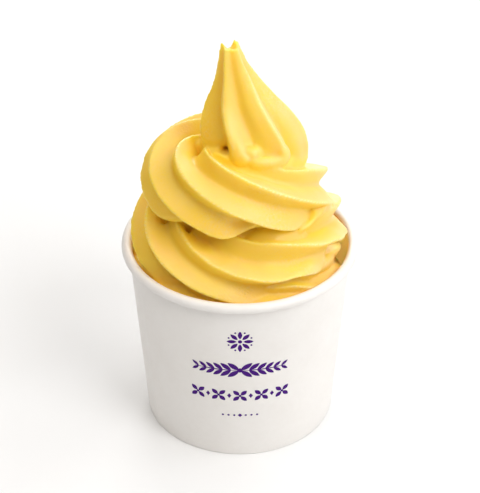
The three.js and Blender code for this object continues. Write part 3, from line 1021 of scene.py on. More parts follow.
@dataclass
class PrintedMotif:
    """The ornament on the cup's front: a rosette, a leafy sprig, a row of flowers and a row of dots.

    A petal, like a dot of the rosette, has its distance from the middle, its length and its width. A leaf of
    the sprig has its length, width and lean, and the stem its share of the sprig's reach and its width.
    """

    cup: CupForm = field(default_factory=CupForm)
    finish: InkFinish = field(default_factory=InkFinish)
    lift: float = 0.05
    rosette_up: float = 61.5
    rosette_petals: int = 8
    rosette_petal: tuple[float, float, float] = (3.3, 3.9, 1.7)
    rosette_dot: tuple[float, float, float] = (4.8, 0.8, 0.8)
    rosette_middle: float = 1.7
    sprig_up: float = 46.5
    sprig_reach: float = 19.5
    sprig_pairs: int = 6
    sprig_leaf: tuple[float, float, float] = (6.4, 2.3, 38.0)
    sprig_stem: tuple[float, float] = (0.92, 0.5)
    sprig_middle: float = 2.2
    sprig_first: float = 0.6
    sprig_taper: float = 0.45
    sprig_root: float = -1.4
    leaf_hang: tuple[float, float] = (0.42, 0.5)
    leaf_share: float = 0.95
    flower_up: float = 32.8
    flower_count: int = 5
    flower_pitch: float = 8.6
    flower_petals: int = 4
    flower_petal: tuple[float, float, float] = (2.1, 3.4, 1.9)
    flower_middle: float = 1.1
    between: tuple[float, float] = (2.6, 1.7)
    dots_up: float = 22.2
    dots_count: int = 7
    dots_pitch: float = 2.3
    dot: float = 0.95

    def rosette(self) -> list[InkMark]:
        """Lists the rosette's middle, its petals and the dots between them.

        Returns:
            The marks.
        """
        count, up = self.rosette_petals, self.rosette_up
        return [InkMark(InkShape.DISC, 0.0, up, 0.0, self.rosette_middle, self.rosette_middle),
                *ring_of(InkShape.LEAF, 0.0, up, count, 0.0, self.rosette_petal),
                *ring_of(InkShape.DISC, 0.0, up, count, 180 / count, self.rosette_dot)]

    def sprig(self) -> list[InkMark]:
        """Lists the sprig's two stems and their pairs of leaves, mirrored about the middle.

        Returns:
            The marks.
        """
        length, width, lean = self.sprig_leaf
        stem_share, stem_width = self.sprig_stem
        stem = self.sprig_reach * stem_share
        marks = [InkMark(InkShape.DISC, 0.0, self.sprig_up, 0.0, self.sprig_middle, self.sprig_middle)]
        for side in (-1, 1):
            stem_middle = side * self.sprig_reach / 2
            marks.append(InkMark(InkShape.LEAF, stem_middle, self.sprig_up, 0.0, stem, stem_width))
            for i in range(self.sprig_pairs):
                share = (i + self.sprig_first) / self.sprig_pairs
                size = 1.0 - self.sprig_taper * share
                for deg in (-lean, lean):
                    out = self.leaf_hang[0] * size * length * math.cos(math.radians(deg))
                    rise = self.leaf_hang[1] * size * length * math.sin(math.radians(deg))
                    marks.append(InkMark(
                        InkShape.LEAF, side * (self.sprig_reach * share + out + self.sprig_root),
                        self.sprig_up + rise, side * deg, size * length * self.leaf_share, size * width))
        return marks

    def flowers(self) -> list[InkMark]:
        """Lists a row of four-petalled flowers with diamonds between them.

        Returns:
            The marks.
        """
        marks = []
        up, count, size = self.flower_up, self.flower_petals, self.flower_middle
        for i in range(self.flower_count):
            across = (i - (self.flower_count - 1) / 2) * self.flower_pitch
            marks.append(InkMark(InkShape.DISC, across, up, 0.0, size, size))
            marks += ring_of(InkShape.LEAF, across, up, count, 180 / count, self.flower_petal)
            if i:
                middle = across - self.flower_pitch / 2
                marks.append(InkMark(InkShape.DIAMOND, middle, up, 90.0, *self.between))
        return marks

    def dots(self) -> list[InkMark]:
        """Lists a short row of dots, with a diamond in the middle.

        Returns:
            The marks.
        """
        marks = []
        for i in range(self.dots_count):
            place = i - (self.dots_count - 1) / 2
            shape, size = (InkShape.DISC, self.dot) if place else (InkShape.DIAMOND, 2 * self.dot)
            marks.append(InkMark(shape, place * self.dots_pitch, self.dots_up, 0.0, size, size))
        return marks

    def build(self) -> Object:
        """Builds the ink as one piece on the wall.

        Returns:
            The piece.
        """
        marks = self.rosette() + self.sprig() + self.flowers() + self.dots()
        stored = {
            "shape": [float(mark.shape) for mark in marks],
            "turn": [math.radians(mark.turn_deg) for mark in marks],
            "length": [mark.length * MM for mark in marks],
            "width": [mark.width * MM for mark in marks]}
        places = [(mark.across, mark.up, 0.0) for mark in marks]
        piece = grown("cup_motif_ink", places, stored, ink_tree(), {
            "Base Radius": self.cup.base_radius * MM, "Flare": self.cup.flare, "Lift": self.lift * MM,
            "Material": self.finish.material()})
        return riding(piece, "cup_wall")


# ---------------------------------------------------------------- the yogurt's parts


@dataclass(frozen=True)
class StarProfile:
    """Cross-section of the strand: a star of narrow ridges and broad hollow grooves."""

    lobes: int = 7
    depth: float = 0.33
    softness: float = 0.1

    def wave(self, angle: np.ndarray, skew: Any) -> np.ndarray:
        """Place across a lobe: 0 on a ridge's crest, 1 in the groove.

        Args:
            angle: Angles from a ridge.
            skew: Above 0 it puts each groove close behind the ridge before it, below 0 close before the next.

        Returns:
            The place at each angle.
        """
        phase = self.lobes * angle
        return np.abs(np.sin((phase + skew * (1 - np.cos(phase))) / 2))

    def share(self, wave: np.ndarray) -> np.ndarray:
        """Share of the full radius at each place across a lobe."""
        soft = self.softness
        return 1 - self.depth * (np.hypot(wave, soft) - soft) / (math.hypot(1, soft) - soft)


@dataclass(frozen=True)
class Nudge:
    """A soft local push on a skin: where it is, how far it reaches and how it moves the middle."""

    place: tuple[float, float, float]
    reach: float
    push: tuple[float, float, float]

    def moved(self, points: np.ndarray) -> np.ndarray:
        """Returns the points, pushed most at the nudge's place and less further away."""
        away = np.linalg.norm(points - np.array(self.place), axis=1) / self.reach
        return points + np.exp(-(away**2))[:, None] * np.array(self.push)


@dataclass
class Peak:
    """The torn peak on top: a star that leans, tapers and sweeps sideways at its foot.

    Its lean, its radii, the direction of its front groove and the angle between the ridges beside that
    groove are each given by height. A dip has its x, y, depth and width, a turned end is a table for a rod,
    and a prong has its direction, rise and sharpness.
    """

    star: StarProfile = field(default_factory=lambda: StarProfile(softness=0.2))
    axis: tuple[float, float] = (5.0, -0.5)
    foot_level: float = 122.9
    foot_fall: tuple[float, float] = (-7.0, -5.8)
    foot_reach: float = 20.5
    lean: Table = (
        (115, 5.3), (125, 5.2), (130, 4.7), (137, 2.9), (143, 1.4), (150, -0.2), (160, -2.6), (171, -4.1))
    radii: Table = (
        (100, 20.6), (116, 21.0), (120, 21.3), (124, 21.4), (128.4, 21.0), (132.5, 20.2),
        (137.4, 18.4), (142.8, 15.4), (150.8, 10.4), (159.5, 6.4), (166, 4.5), (172, 3.0))
    front_groove: Table = (
        (130, 280.3), (133, 280.2), (137, 279.2), (141, 276.5), (144, 274.3), (148, 272.8), (151, 273.8),
        (157, 277.8), (165, 279.5))
    front_gap: Table = (
        (130, 56.5), (133, 58.5), (137, 61.3), (141, 65), (144, 68.5), (148, 73.5), (151, 76.5),
        (157, 83.5), (165, 83))
    skew_swing: float = 0.7
    foot_rounding: float = 4.0
    foot_pull_in: float = 0.06
    foot_filling: float = 0.15
    sweep_deg: float = 20.0
    sweep_height: float = 7.0
    sweep_from_deg: float = 190.0
    sweep_power: float = 2.0
    sweep_side: tuple[float, float] = (0.05, 0.55)
    dips: Table = ((-0.2, -19.8, 3.2, 5.5), (-11.0, -9.5, 3.0, 6.0))
    turned_ends: tuple[Table, ...] = (
        ((309, 18.0, 133.5, 2.0), (308.5, 18.6, 130.0, 2.8), (304, 19.0, 128.0, 2.8), (296, 19.1, 127.6, 2.6),
         (286, 19.3, 127.9, 2.5), (275, 19.4, 128.3, 2.4), (265, 19.2, 128.6, 1.9)),
        ((246, 12.5, 140.0, 2.2), (249, 15.0, 136.0, 2.8), (251, 16.6, 132.5, 3.3), (253.5, 17.7, 130.2, 3.5),
         (259, 17.9, 129.8, 3.3), (264, 17.2, 130.4, 2.6)))
    base_depth: float = 8.0
    base_share: float = 0.93
    base_sink: float = 0.8
    tip_level: float = 168.4
    prongs: Table = ((190.0, 1.7, 6), (40.0, 2.0, 4), (112.0, -3.4, 4))
    hollow_level: float = 166.0
    hollow_width: float = 0.4
    hollow_rise: float = 0.3
    rows: int = 150
    row_power: float = 1.15
    sides: int = 224

    def middle_at(self, height: Any) -> np.ndarray:
        """The x of the peak's middle at a height."""
        return hermite(self.lean, height)

    def foot_at(self, x: np.ndarray, y: np.ndarray) -> np.ndarray:
        """Height of the tilted face that the peak sits on, with dips under two ridges' feet.

        Args:
            x: Places across.
            y: Places from front to back.

        Returns:
            The height at each place.
        """
        fall_x, fall_y = self.foot_fall
        fall = fall_x * (x - self.axis[0]) + fall_y * (y - self.axis[1])
        level = self.foot_level + fall / self.foot_reach
        for dip_x, dip_y, drop, width in self.dips:
            level = level - drop * np.exp(-(np.hypot(x - dip_x, y - dip_y) / width) ** 2)
        return level

    def ring(self, share: float, angles: np.ndarray) -> tuple[np.ndarray, np.ndarray]:
        """One ring of the peak.

        Args:
            share: How far up the peak, from 0 to 1.
            angles: Directions round its axis.

        Returns:
            The points, and how close each is to a ridge.
        """
        reach = self.foot_reach
        foot = self.foot_at(self.axis[0] + reach * np.cos(angles), self.axis[1] + reach * np.sin(angles))
        tip = self.tip_level + sum(
            rise * np.maximum(0, np.cos(angles - math.radians(deg))) ** power
            for deg, rise, power in self.prongs)
        height = foot + (tip - foot) * share
        above = height - foot
        rounding = np.maximum(0, 1 - above / self.foot_rounding)
        radius = hermite(self.radii, height) * (1 - self.foot_pull_in * rounding**2)
        near_foot = np.maximum(0, 1 - above / self.sweep_height) ** self.sweep_power
        side = (1 - np.cos(angles - math.radians(self.sweep_from_deg))) / 2
        sweep = self.sweep_deg * smooth_step(*self.sweep_side, side) * near_foot
        gap = np.radians(hermite(self.front_gap, height))
        crowding = (gap / 2 - math.pi / self.star.lobes) / np.sin(gap / 2)
        across = angles - np.radians(hermite(self.front_groove, height) - sweep)
        from_ridge = across - crowding * np.sin(across) + math.pi / self.star.lobes
        wave = self.star.wave(from_ridge, self.skew_swing * np.sin(across + gap / 2))
        out = radius * (1 - (1 - self.star.share(wave)) * (1 - self.foot_filling * rounding))
        x = self.middle_at(height) + out * np.cos(angles)
        y = self.axis[1] + out * np.sin(angles)
        return np.stack([x, y, height], 1), 1 - wave

    def skins(self) -> list[Skin]:
        """Builds the peak and the ends of two ridges that are turned sideways along its foot.

        Returns:
            The skins.
        """
        angles = np.arange(self.sides) * 2 * math.pi / self.sides
        shares = (np.arange(self.rows + 1) / self.rows) ** self.row_power
        rings, ridges = zip(*(self.ring(share, angles) for share in shares))
        reach = self.base_share * float(hermite(self.radii, self.foot_level))
        base_x, base_y = self.axis[0] + reach * np.cos(angles), self.axis[1] + reach * np.sin(angles)
        base = np.stack([base_x, base_y, self.foot_at(base_x, base_y) - self.base_sink], 1)
        under = base - np.array([0.0, 0.0, self.base_depth])
        middle = np.array([float(self.middle_at(self.tip_level)), self.axis[1], self.hollow_level])
        narrowing = np.array([self.hollow_width, self.hollow_width, self.hollow_rise])
        body = lofted([under, base, *rings, middle + narrowing * (rings[-1] - middle)])
        body.ridge = np.concatenate([ridges[0], ridges[0], *ridges, ridges[-1], [0.0, 0.5]])
        return [body, *(rod(table, self.middle_at, self.axis[1]) for table in self.turned_ends)]


def star_sweep_tree() -> NodeTree:
    """Builds the tree that sweeps a star-shaped section along a coil.

    Its input is a row of points, each with the attributes turn, radius, half_width, half_height, lean,
    flat_from and skew.

    Returns:
        The node tree.
    """
    sheet, given = geometry_sheet("star_sweep", {
        "Sides": ("Int", 168), "Lobes": ("Int", 7), "Groove Depth": ("Float", 0.3),
        "Crest Softness": ("Float", 0.1), "Flattening": ("Float", 0.0), "Flat Span": ("Float", 0.4),
        "Centre": ("Vector", (0.0, 0.0, 0.0))})
    path = given["Points"]
    columns = given["Sides"] + 1.0
    grid = sheet.wire("GeometryNodeMeshGrid", "Mesh", {
        "Vertices X": sheet.wire("GeometryNodeAttributeDomainSize", "Point Count", {"Geometry": path}),
        "Vertices Y": columns})
    index = sheet.wire("GeometryNodeInputIndex")
    row = sheet.math("FLOOR", (index + 0.5) / columns)

    def sampled(value: Wire, kind: str = "FLOAT") -> Wire:
        """The path's value at this vertex's row."""
        return sheet.wire("GeometryNodeSampleIndex", 0, {"Geometry": path, "Value": value, "Index": row},
                          data_type=kind, domain="POINT")

    turn, radius, width, rise, lean, flat_from, skew = (sampled(sheet.named(name)) for name in (
        "turn", "radius", "half_width", "half_height", "lean", "flat_from", "skew"))
    level = sheet.wire("ShaderNodeSeparateXYZ", "Z", {
        0: sampled(sheet.wire("GeometryNodeInputPosition"), "FLOAT_VECTOR")})
    section = (index - row * columns) / given["Sides"] * (2 * math.pi)
    phase = section * given["Lobes"]
    wave = sheet.math("SINE", (phase + skew * (1.0 - sheet.math("COSINE", phase))) * 0.5)
    soft = given["Crest Softness"]
    dip = sheet.math("SQRT", wave * wave + soft * soft) - soft
    deepest = sheet.math("SQRT", soft * soft + 1.0) - soft
    around = section + lean - (turn - FRONT)
    across, up = sheet.math("COSINE", around), sheet.math("SINE", around)
    below = sheet.wire("ShaderNodeMapRange", 0, {
        "Value": up * -1.0, "From Min": flat_from, "From Max": flat_from + given["Flat Span"]},
        interpolation_type="SMOOTHSTEP")
    share = (1.0 - given["Groove Depth"] * (dip / deepest)) * (1.0 - given["Flattening"] * below)
    out = width * share * across + radius
    height = level + rise * share * up
    place = sheet.vector(out * sheet.math("COSINE", turn), out * sheet.math("SINE", turn), height)
    centred = sheet.wire("ShaderNodeVectorMath", 0, {0: place, 1: given["Centre"]}, operation="ADD")
    stored = sheet.wire("GeometryNodeStoreNamedAttribute", 0, {
        "Geometry": sheet.moved(grid, centred), "Name": "ridge", "Value": 1.0 - sheet.math("ABSOLUTE", wave)},
        data_type="FLOAT", domain="POINT")
    merged = sheet.wire("GeometryNodeMergeByDistance", 0, {"Geometry": stored, "Distance": TINY})
    return sheet.closed(merged, given["Material"])


@dataclass
class Coil:
    """The strand's coil.

    Each row has, a quarter turn after the one before and from the peak down into the cup, the coil's radius,
    the strand's height, half width, half height and lean in degrees, where its flat underside starts, and the
    skew of its grooves. Each fold is a table for a rod.
    """

    star: StarProfile = field(default_factory=StarProfile)
    centre: tuple[float, float] = (-2.0, -0.2)
    rows: Table = (
        (14.0, 112.0, 12.0, 12.5, -75, 0.5, -0.45), (17.0, 111.5, 16.8, 16.0, -60, 0.5, -0.45),
        (20.0, 111.6, 17.2, 17.4, -41, 0.5, -0.45), (21.0, 113.6, 17.2, 18.4, -42, 0.52, -0.3),
        (21.6, 103.2, 17.7, 18.4, -29, 0.2, -0.45), (20.0, 92.1, 17.4, 17.8, -20, 0.5, -0.3),
        (23.4, 87.2, 18.2, 17.0, -29, 0.5, -0.1), (24.7, 85.0, 18.7, 16.3, -24, 0.52, 0.0),
        (26.6, 88.8, 19.0, 16.0, -28, 0.2, -0.3), (20.0, 82.0, 16.0, 15.5, -35, 0.5, -0.45),
        (25.5, 73.0, 16.0, 15.0, -35, 0.5, -0.45), (27.5, 70.0, 16.0, 15.0, -30, 0.5, -0.45),
        (29.5, 68.5, 16.0, 15.0, -30, 0.4, -0.45), (17.5, 50.0, 14.0, 13.0, -30, 0.5, -0.45))
    row_deg: float = 90.0
    step_deg: float = 2.5
    sides: int = 168
    flattening: float = 0.38
    flat_span: float = 0.38
    nudges: tuple[Nudge, ...] = (
        Nudge((15.0, -33.5, 98.0), 8.0, (0.0, 0.0, 1.9)),
        Nudge((26.0, -30.5, 96.5), 8.0, (0.0, 0.0, 2.0)),
        Nudge((37.0, -21.0, 93.0), 8.0, (0.0, 0.0, 2.2)),
        Nudge((43.0, -10.0, 89.0), 6.0, (-1.0, 0.0, 0.7)),
        Nudge((15.5, -41.0, 87.0), 6.0, (0.0, 0.0, 0.8)),
        Nudge((28.5, -31.0, 84.5), 6.0, (-0.5, 0.0, 3.4)),
        Nudge((21.5, -37.0, 83.0), 6.0, (0.0, 0.0, 3.0)),
        Nudge((-19.0, -30.0, 98.5), 5.0, (0.3, -0.3, -1.3)),
        Nudge((-11.5, -36.5, 96.0), 5.5, (0.3, -0.3, -1.3)),
        Nudge((-3.6, -41.0, 92.8), 5.0, (0.2, 0.0, -1.0)),
        Nudge((1.5, -32.5, 109.0), 5.0, (-0.5, 4.0, 0.0)))
    folds: tuple[Table, ...] = (
        ((-50, 37.5, 82.4, 1.8), (-44, 38.6, 82.6, 2.3), (-36, 39.0, 82.4, 2.6), (-30, 39.0, 81.6, 2.7),
         (-24, 38.9, 80.4, 2.7), (-18, 38.4, 79.0, 2.7), (-10, 37.6, 77.2, 2.6), (-2, 36.2, 76.4, 2.2)),
        ((-80, 25.5, 97.0, 2.5), (-72, 28.0, 98.2, 3.6), (-64, 29.8, 98.8, 4.6), (-56, 31.2, 98.6, 4.9),
         (-49, 32.2, 98.0, 4.4), (-42, 32.8, 97.3, 3.4), (-36, 33.0, 96.5, 2.2)),
        ((-33, 34.0, 101.5, 1.8), (-26, 35.0, 103.0, 2.1), (-19, 35.8, 103.2, 2.3), (-12, 37.0, 101.8, 2.0)),
        ((-21, 37.7, 105.3, 0.9), (-26, 36.2, 103.6, 1.0), (-33, 35.7, 102.4, 1.0), (-40, 35.8, 101.8, 1.0),
         (-47, 35.0, 100.8, 0.8)),
        ((-80, 16.4, 131.4, 2.0), (-72, 17.0, 130.8, 2.8), (-66, 17.1, 130.4, 3.0), (-58, 16.6, 130.4, 2.4)),
        ((170, 12.5, 124.0, 2.0), (180, 13.2, 124.2, 2.4), (188, 13.6, 123.6, 2.5), (197, 13.8, 122.6, 2.0)),
        ((-70, 35.5, 79.5, 3.0), (-60, 36.0, 80.0, 3.5), (-52, 36.5, 79.6, 3.5), (-44, 36.5, 78.8, 3.5),
         (-36, 36.5, 78.0, 3.0)))

    def fold_skins(self) -> list[Skin]:
        """Builds the small rolls and fillings where ridges have fused with what they rest on."""
        return [rod(table, lambda height: self.centre[0], self.centre[1]) for table in self.folds]

    def strand(self, material: Material) -> Skin:
        """Sweeps the strand along the coil, and pushes it where a nudge says so.

        Args:
            material: What the swept skin is made of.

        Returns:
            The skin.
        """
        turn = np.arange(0.0, (len(self.rows) - 1) * self.row_deg + self.step_deg / 2, self.step_deg)
        rows = catmull_rom(self.rows, turn / self.row_deg)
        rows = np.vstack([rows[:1], rows, rows[-1:]])
        turn = np.radians(np.concatenate([turn[:1], turn, turn[-1:]]))
        rows[0, 2:4] = rows[-1, 2:4] = 0.0
        stored = {"turn": turn, "radius": rows[:, 0] * MM, "half_width": rows[:, 2] * MM,
                  "half_height": rows[:, 3] * MM, "lean": np.radians(rows[:, 4]), "flat_from": rows[:, 5],
                  "skew": rows[:, 6]}
        places = [(0.0, 0.0, height) for height in rows[:, 1]]
        piece = grown("coil_path", places, stored, star_sweep_tree(), {
            "Sides": self.sides, "Lobes": self.star.lobes, "Groove Depth": self.star.depth,
            "Crest Softness": self.star.softness, "Flattening": self.flattening, "Flat Span": self.flat_span,
            "Centre": (self.centre[0] * MM, self.centre[1] * MM, 0.0), "Material": material})
        points = vertex_array(piece.data)
        for nudge in self.nudges:
            points = nudge.moved(points)
        ridge = read_rows(piece.data.attributes["ridge"].data, "value", 1)[:, 0]
        faces = [list(face.vertices) for face in piece.data.polygons]
        bpy.data.objects.remove(piece)
        return Skin(points, faces, ridge)


# ---------------------------------------------------------------- the yogurt


@dataclass
class Yogurt:
    """The whole yogurt: coil, peak and filling, melted into one skin inside the cup.

    A frosty patch, whose specks are partly painted glints, has its x, y, z and reach. The core's outline is
    pairs of radius and height. Uneven and ragged have the height and the grain of their relief, and ragged
    also has the shift of its noise.
    """

    cup: CupForm = field(default_factory=CupForm)
    finish: YogurtFinish = field(default_factory=YogurtFinish)
    coil: Coil = field(default_factory=Coil)
    peak: Peak = field(default_factory=Peak)
    press_radius: float = 19.5
    press_slope: float = 0.55
    press_rest: float = 0.12
    press_sink: float = 0.6
    dents: tuple[Nudge, ...] = (
        Nudge((-5.8, -13.0, 130.2), 2.0, (0.8, 3.0, -3.0)),
        Nudge((-5.8, -9.4, 127.8), 1.5, (0.5, 4.5, -1.0)),
        Nudge((-16.8, -4.0, 124.6), 1.8, (1.5, 1.5, -4.0)),
        Nudge((-29.9, -11.2, 97.4), 1.6, (0.5, 2.5, -4.0)),
        Nudge((-20.3, -20.1, 99.4), 1.7, (0.5, 2.5, -4.0)),
        Nudge((4.4, -15.2, 130.4), 4.8, (0.0, -2.0, 0.5)))
    # Frosty patches: rougher relief, and specks that are partly painted glints.
    frost: Table = (
        (-12.7, -7.5, 134.4, 3.2), (12.4, -0.5, 146.8, 6.0), (-4.3, -32.8, 107.3, 6.0),
        (13.5, -31.2, 112.3, 7.0), (21.3, -30.9, 90.3, 5.5), (1.4, -38.2, 82.3, 3.5))
    uneven: tuple[float, float] = (0.2, 7.0)
    ragged: tuple[float, float, float] = (0.28, 1.7, 40.0)
    ragged_from: float = 0.75
    ragged_side: tuple[float, float] = (12.0, -12.0)
    open_reach: float = 12.0
    open_rays: int = 24
    open_lift: float = 0.4
    open_facing: float = 0.1
    open_blur: int = 3
    fill_base: float = 50.0
    fill_low: float = 60.0
    fill_rise: float = 16.0
    fill_high_deg: float = 265.0
    fill_spread: float = 0.35
    fill_crown: float = 4.0
    fill_sides: int = 120
    fill_rings: tuple[float, float, float, float] = (2.0, 2.5, 0.8, 0.3)
    core: Table = ((0.01, 52), (28, 52), (28, 84), (26, 100), (22, 113), (12, 121), (0.01, 121))
    core_sides: int = 96
    voxel: float = 0.6
    smoothing: tuple[float, int] = (0.5, 3)
    kept_share: float = 0.64
    cut_height: float = 53.0
    closing_drop: float = 12.0
    closing_rise: float = 14.0
    # Painted light and shade: a middle tone, paler as the skin faces right, faces up and nears a crest, and a
    # painted highlight line along the crests.
    painted_light_middle: float = 0.4
    painted_light_swing: tuple[float, float, float] = (0.36, 0.2, 0.1)
    painted_crest_highlight: tuple[float, float] = (0.35, 0.88)

    def pressed(self, points: np.ndarray) -> np.ndarray:
        """Presses the coil down where the peak rests on it.

        Args:
            points: The coil's points.

        Returns:
            The points, lowered under the peak's foot.
        """
        away = np.hypot(points[:, 0] - self.peak.axis[0], points[:, 1] - self.peak.axis[1])
        limit = self.peak.foot_at(points[:, 0], points[:, 1]) - self.press_sink
        limit = limit + np.maximum(0, away - self.press_radius) * self.press_slope
        above = points[:, 2] - limit
        lowered = np.where(above > 0, limit + above * self.press_rest, points[:, 2])
        return np.stack([points[:, 0], points[:, 1], lowered], 1)

    def filling(self) -> list[Skin]:
        """Builds the filling, higher at the front than behind, and the middle that the coil closes round.

        Returns:
            The two skins.
        """
        base = float(self.cup.wall_radius(self.fill_base))
        low, high, crown, middle = self.fill_rings
        angles = np.arange(self.fill_sides) * 2 * math.pi / self.fill_sides
        side = np.cos(angles - math.radians(self.fill_high_deg))
        level = self.fill_low + self.fill_rise * smooth_step(-self.fill_spread, self.fill_spread, side)
        edge = base + low

        def ring(radius: float, height: Any) -> np.ndarray:
            """One ring of the filling's skin."""
            return np.stack([radius * np.cos(angles), radius * np.sin(angles), height + 0 * angles], 1)

        core = turned(self.core, self.core_sides)
        core.points[:, :2] += self.coil.centre
        return [lofted([ring(edge, self.fill_base), ring(base + high, level),
                        ring(edge * crown, level + self.fill_crown),
                        ring(edge * middle, level.mean() + self.fill_crown)]), core]

    def melted(self, skin: Skin) -> Object:
        """Melts closed skins that cut through each other into one.

        Args:
            skin: The skins, gathered in one.

        Returns:
            An object with one even skin.
        """
        piece = linked("frozen_yogurt_swirl", skin)
        remade = piece.modifiers.new("skin", "REMESH")
        remade.mode, remade.voxel_size = "VOXEL", self.voxel * MM
        even = piece.modifiers.new("even", "SMOOTH")
        even.factor, even.iterations = self.smoothing
        piece.modifiers.new("thin", "DECIMATE").ratio = self.kept_share
        return settled(piece)

    def frosted(self, points: np.ndarray) -> np.ndarray:
        """How frosty the skin is at each point: 1 in the middle of each frosty patch."""
        return np.max([np.exp(-(np.linalg.norm(points - place, axis=1) / reach) ** 2)
                       for *place, reach in self.frost], axis=0)

    # The openness places the painted bounce colour in the yogurt's crevices.
    def openness(self, mesh: Mesh) -> np.ndarray:
        """How freely each vertex of the skin is reached from outside, as the share of rays that meet nothing.

        Args:
            mesh: The melted skin.

        Returns:
            A value from 0, deep in a crevice, to 1, in the open.
        """
        points, normal = vertex_array(mesh) * MM, vertex_normals(mesh)
        skin = BVHTree.FromPolygons(points.tolist(), [tuple(face.vertices) for face in mesh.polygons])
        step = np.arange(self.open_rays) + 0.5
        up = 1 - 2 * step / self.open_rays
        turn = step * math.pi * (3 - math.sqrt(5))
        level = np.sqrt(1 - up**2)
        rays = np.stack([level * np.cos(turn), level * np.sin(turn), up], 1)
        facing = normal @ rays.T
        directions = [Vector(ray) for ray in rays.tolist()]
        reach, share = self.open_reach * MM, np.ones(len(points))
        for i, start in enumerate((points + normal * self.open_lift * MM).tolist()):
            used = np.flatnonzero(facing[i] > self.open_facing).tolist()
            seen = sum(facing[i, j] for j in used if skin.ray_cast(start, directions[j], reach)[0] is None)
            share[i] = seen / sum(facing[i, j] for j in used)
        return spread(mesh, share, self.open_blur)

    def weathered(self, mesh: Mesh, ridge: np.ndarray) -> np.ndarray:
        """Makes the skin a little uneven and its crests ragged, and dents it in its deepest crevices.

        Args:
            mesh: The melted skin.
            ridge: How close each vertex is to a ridge.

        Returns:
            The moved points.
        """
        points = vertex_array(mesh)
        swell, swell_size = self.uneven
        rag, rag_size, rag_shift = self.ragged
        crest = smooth_step(self.ragged_from, 1.0, ridge) * smooth_step(*self.ragged_side, points[:, 0])
        out = swell * noise_at(points, swell_size) + rag * crest * noise_at(points, rag_size, rag_shift)
        points = points + vertex_normals(mesh) * out[:, None]
        for dent in self.dents:
            points = dent.moved(points)
        return points

    def held_in(self, points: np.ndarray) -> np.ndarray:
        """Keeps the yogurt inside the cup's wall and clear of its rim.

        Args:
            points: The skin's points.

        Returns:
            The points, drawn in where they reached too far.
        """
        radius = np.hypot(points[:, 0], points[:, 1])
        scale = np.minimum(1.0, self.cup.inner_limit(points[:, 2]) / np.maximum(radius, TINY))
        return points * np.stack([scale, scale, np.ones(len(scale))], 1)

    def closed_below(self, mesh: Mesh) -> None:
        """Cuts the skin inside the cup and carries it down to the bottom as a plain filling.

        Args:
            mesh: The skin.
        """
        work = bmesh.new()
        work.from_mesh(mesh)
        bmesh.ops.bisect_plane(work, geom=[*work.verts, *work.edges, *work.faces],
                               plane_co=(0, 0, self.cut_height * MM), plane_no=(0, 0, 1), clear_inner=True)
        edges = [e for e in work.edges if e.is_boundary]
        floor = self.cup.floor_top + self.cup.gap
        for height in (self.cut_height - self.closing_drop, floor + self.closing_rise, floor):
            made = bmesh.ops.extrude_edge_only(work, edges=edges)["geom"]
            limit = float(self.cup.inner_limit(np.array([height]))[0]) * MM
            for vert in (g for g in made if isinstance(g, bmesh.types.BMVert)):
                scale = limit / math.hypot(vert.co.x, vert.co.y)
                vert.co = Vector((vert.co.x * scale, vert.co.y * scale, height * MM))
            edges = [g for g in made if isinstance(g, bmesh.types.BMEdge)]
        bmesh.ops.holes_fill(work, edges=edges)
        bmesh.ops.recalc_face_normals(work, faces=work.faces)
        work.to_mesh(mesh)
        work.free()

    def painted_light_tone(self, mesh: Mesh, ridge: np.ndarray) -> np.ndarray:
        """How pale the yogurt is painted at each vertex, as painted light and shade: paler on ridges, and
        where it faces up and to the right towards the lights, with a painted highlight line along each crest.

        Args:
            mesh: The melted skin.
            ridge: How close each vertex is to a ridge.

        Returns:
            A value from 0, painted shade, to 1, painted light.
        """
        side, _, up = vertex_normals(mesh).T
        right, rise, crest = self.painted_light_swing
        line, line_from = self.painted_crest_highlight
        pale = self.painted_light_middle + right * side + rise * up + crest * (ridge - 0.5)
        return np.clip(pale + line * smooth_step(line_from, 1.0, ridge), 0.0, 1.0)

    def build(self) -> Object:
        """Builds the yogurt piece.

        Returns:
            The piece.
        """
        material = self.finish.material()
        strand = self.coil.strand(material)
        strand.points = self.pressed(strand.points)
        star = joined([strand, *self.peak.skins(), *self.coil.fold_skins()])
        piece = self.melted(joined([star, *self.filling()]))
        mesh = piece.data
        near = kdtree.KDTree(len(star.points))
        for i, point in enumerate(star.points.tolist()):
            near.insert(point, i)
        near.balance()
        ridge = star.ridge[[near.find(point)[1] for point in vertex_array(mesh).tolist()]]
        # Painted light and shade for the yogurt's colour: the painted light tone, the openness that places a
        # painted bounce colour in crevices, and the frost patches.
        for name, values in (("painted_light_tone", self.painted_light_tone(mesh, ridge)), ("open", self.openness(mesh)),
                             ("frost", self.frosted(vertex_array(mesh)))):
            store_floats(mesh, name, values)
        points = self.held_in(self.weathered(mesh, ridge))
        mesh.vertices.foreach_set("co", (points * MM).astype(np.float32).ravel())
        self.closed_below(mesh)
        return riding(dressed(piece, material), "frozen_yogurt")


# ---------------------------------------------------------------- the studio


@dataclass(frozen=True)
class SoftLight:
    """One round soft light: where it stands, in degrees round from the front and up, and its power."""

    name: str
    around_deg: float
    up_deg: float
    power: float
    size: float = 0.75
    distance: float = 1.3
    colour: tuple[float, float, float] = (1.0, 1.0, 1.0)

    def direction(self) -> Vector:
        """Direction from the cup to the light."""
        around, up = math.radians(self.around_deg), math.radians(self.up_deg)
        return Vector((math.sin(around) * math.cos(up), -math.cos(around) * math.cos(up), math.sin(up)))


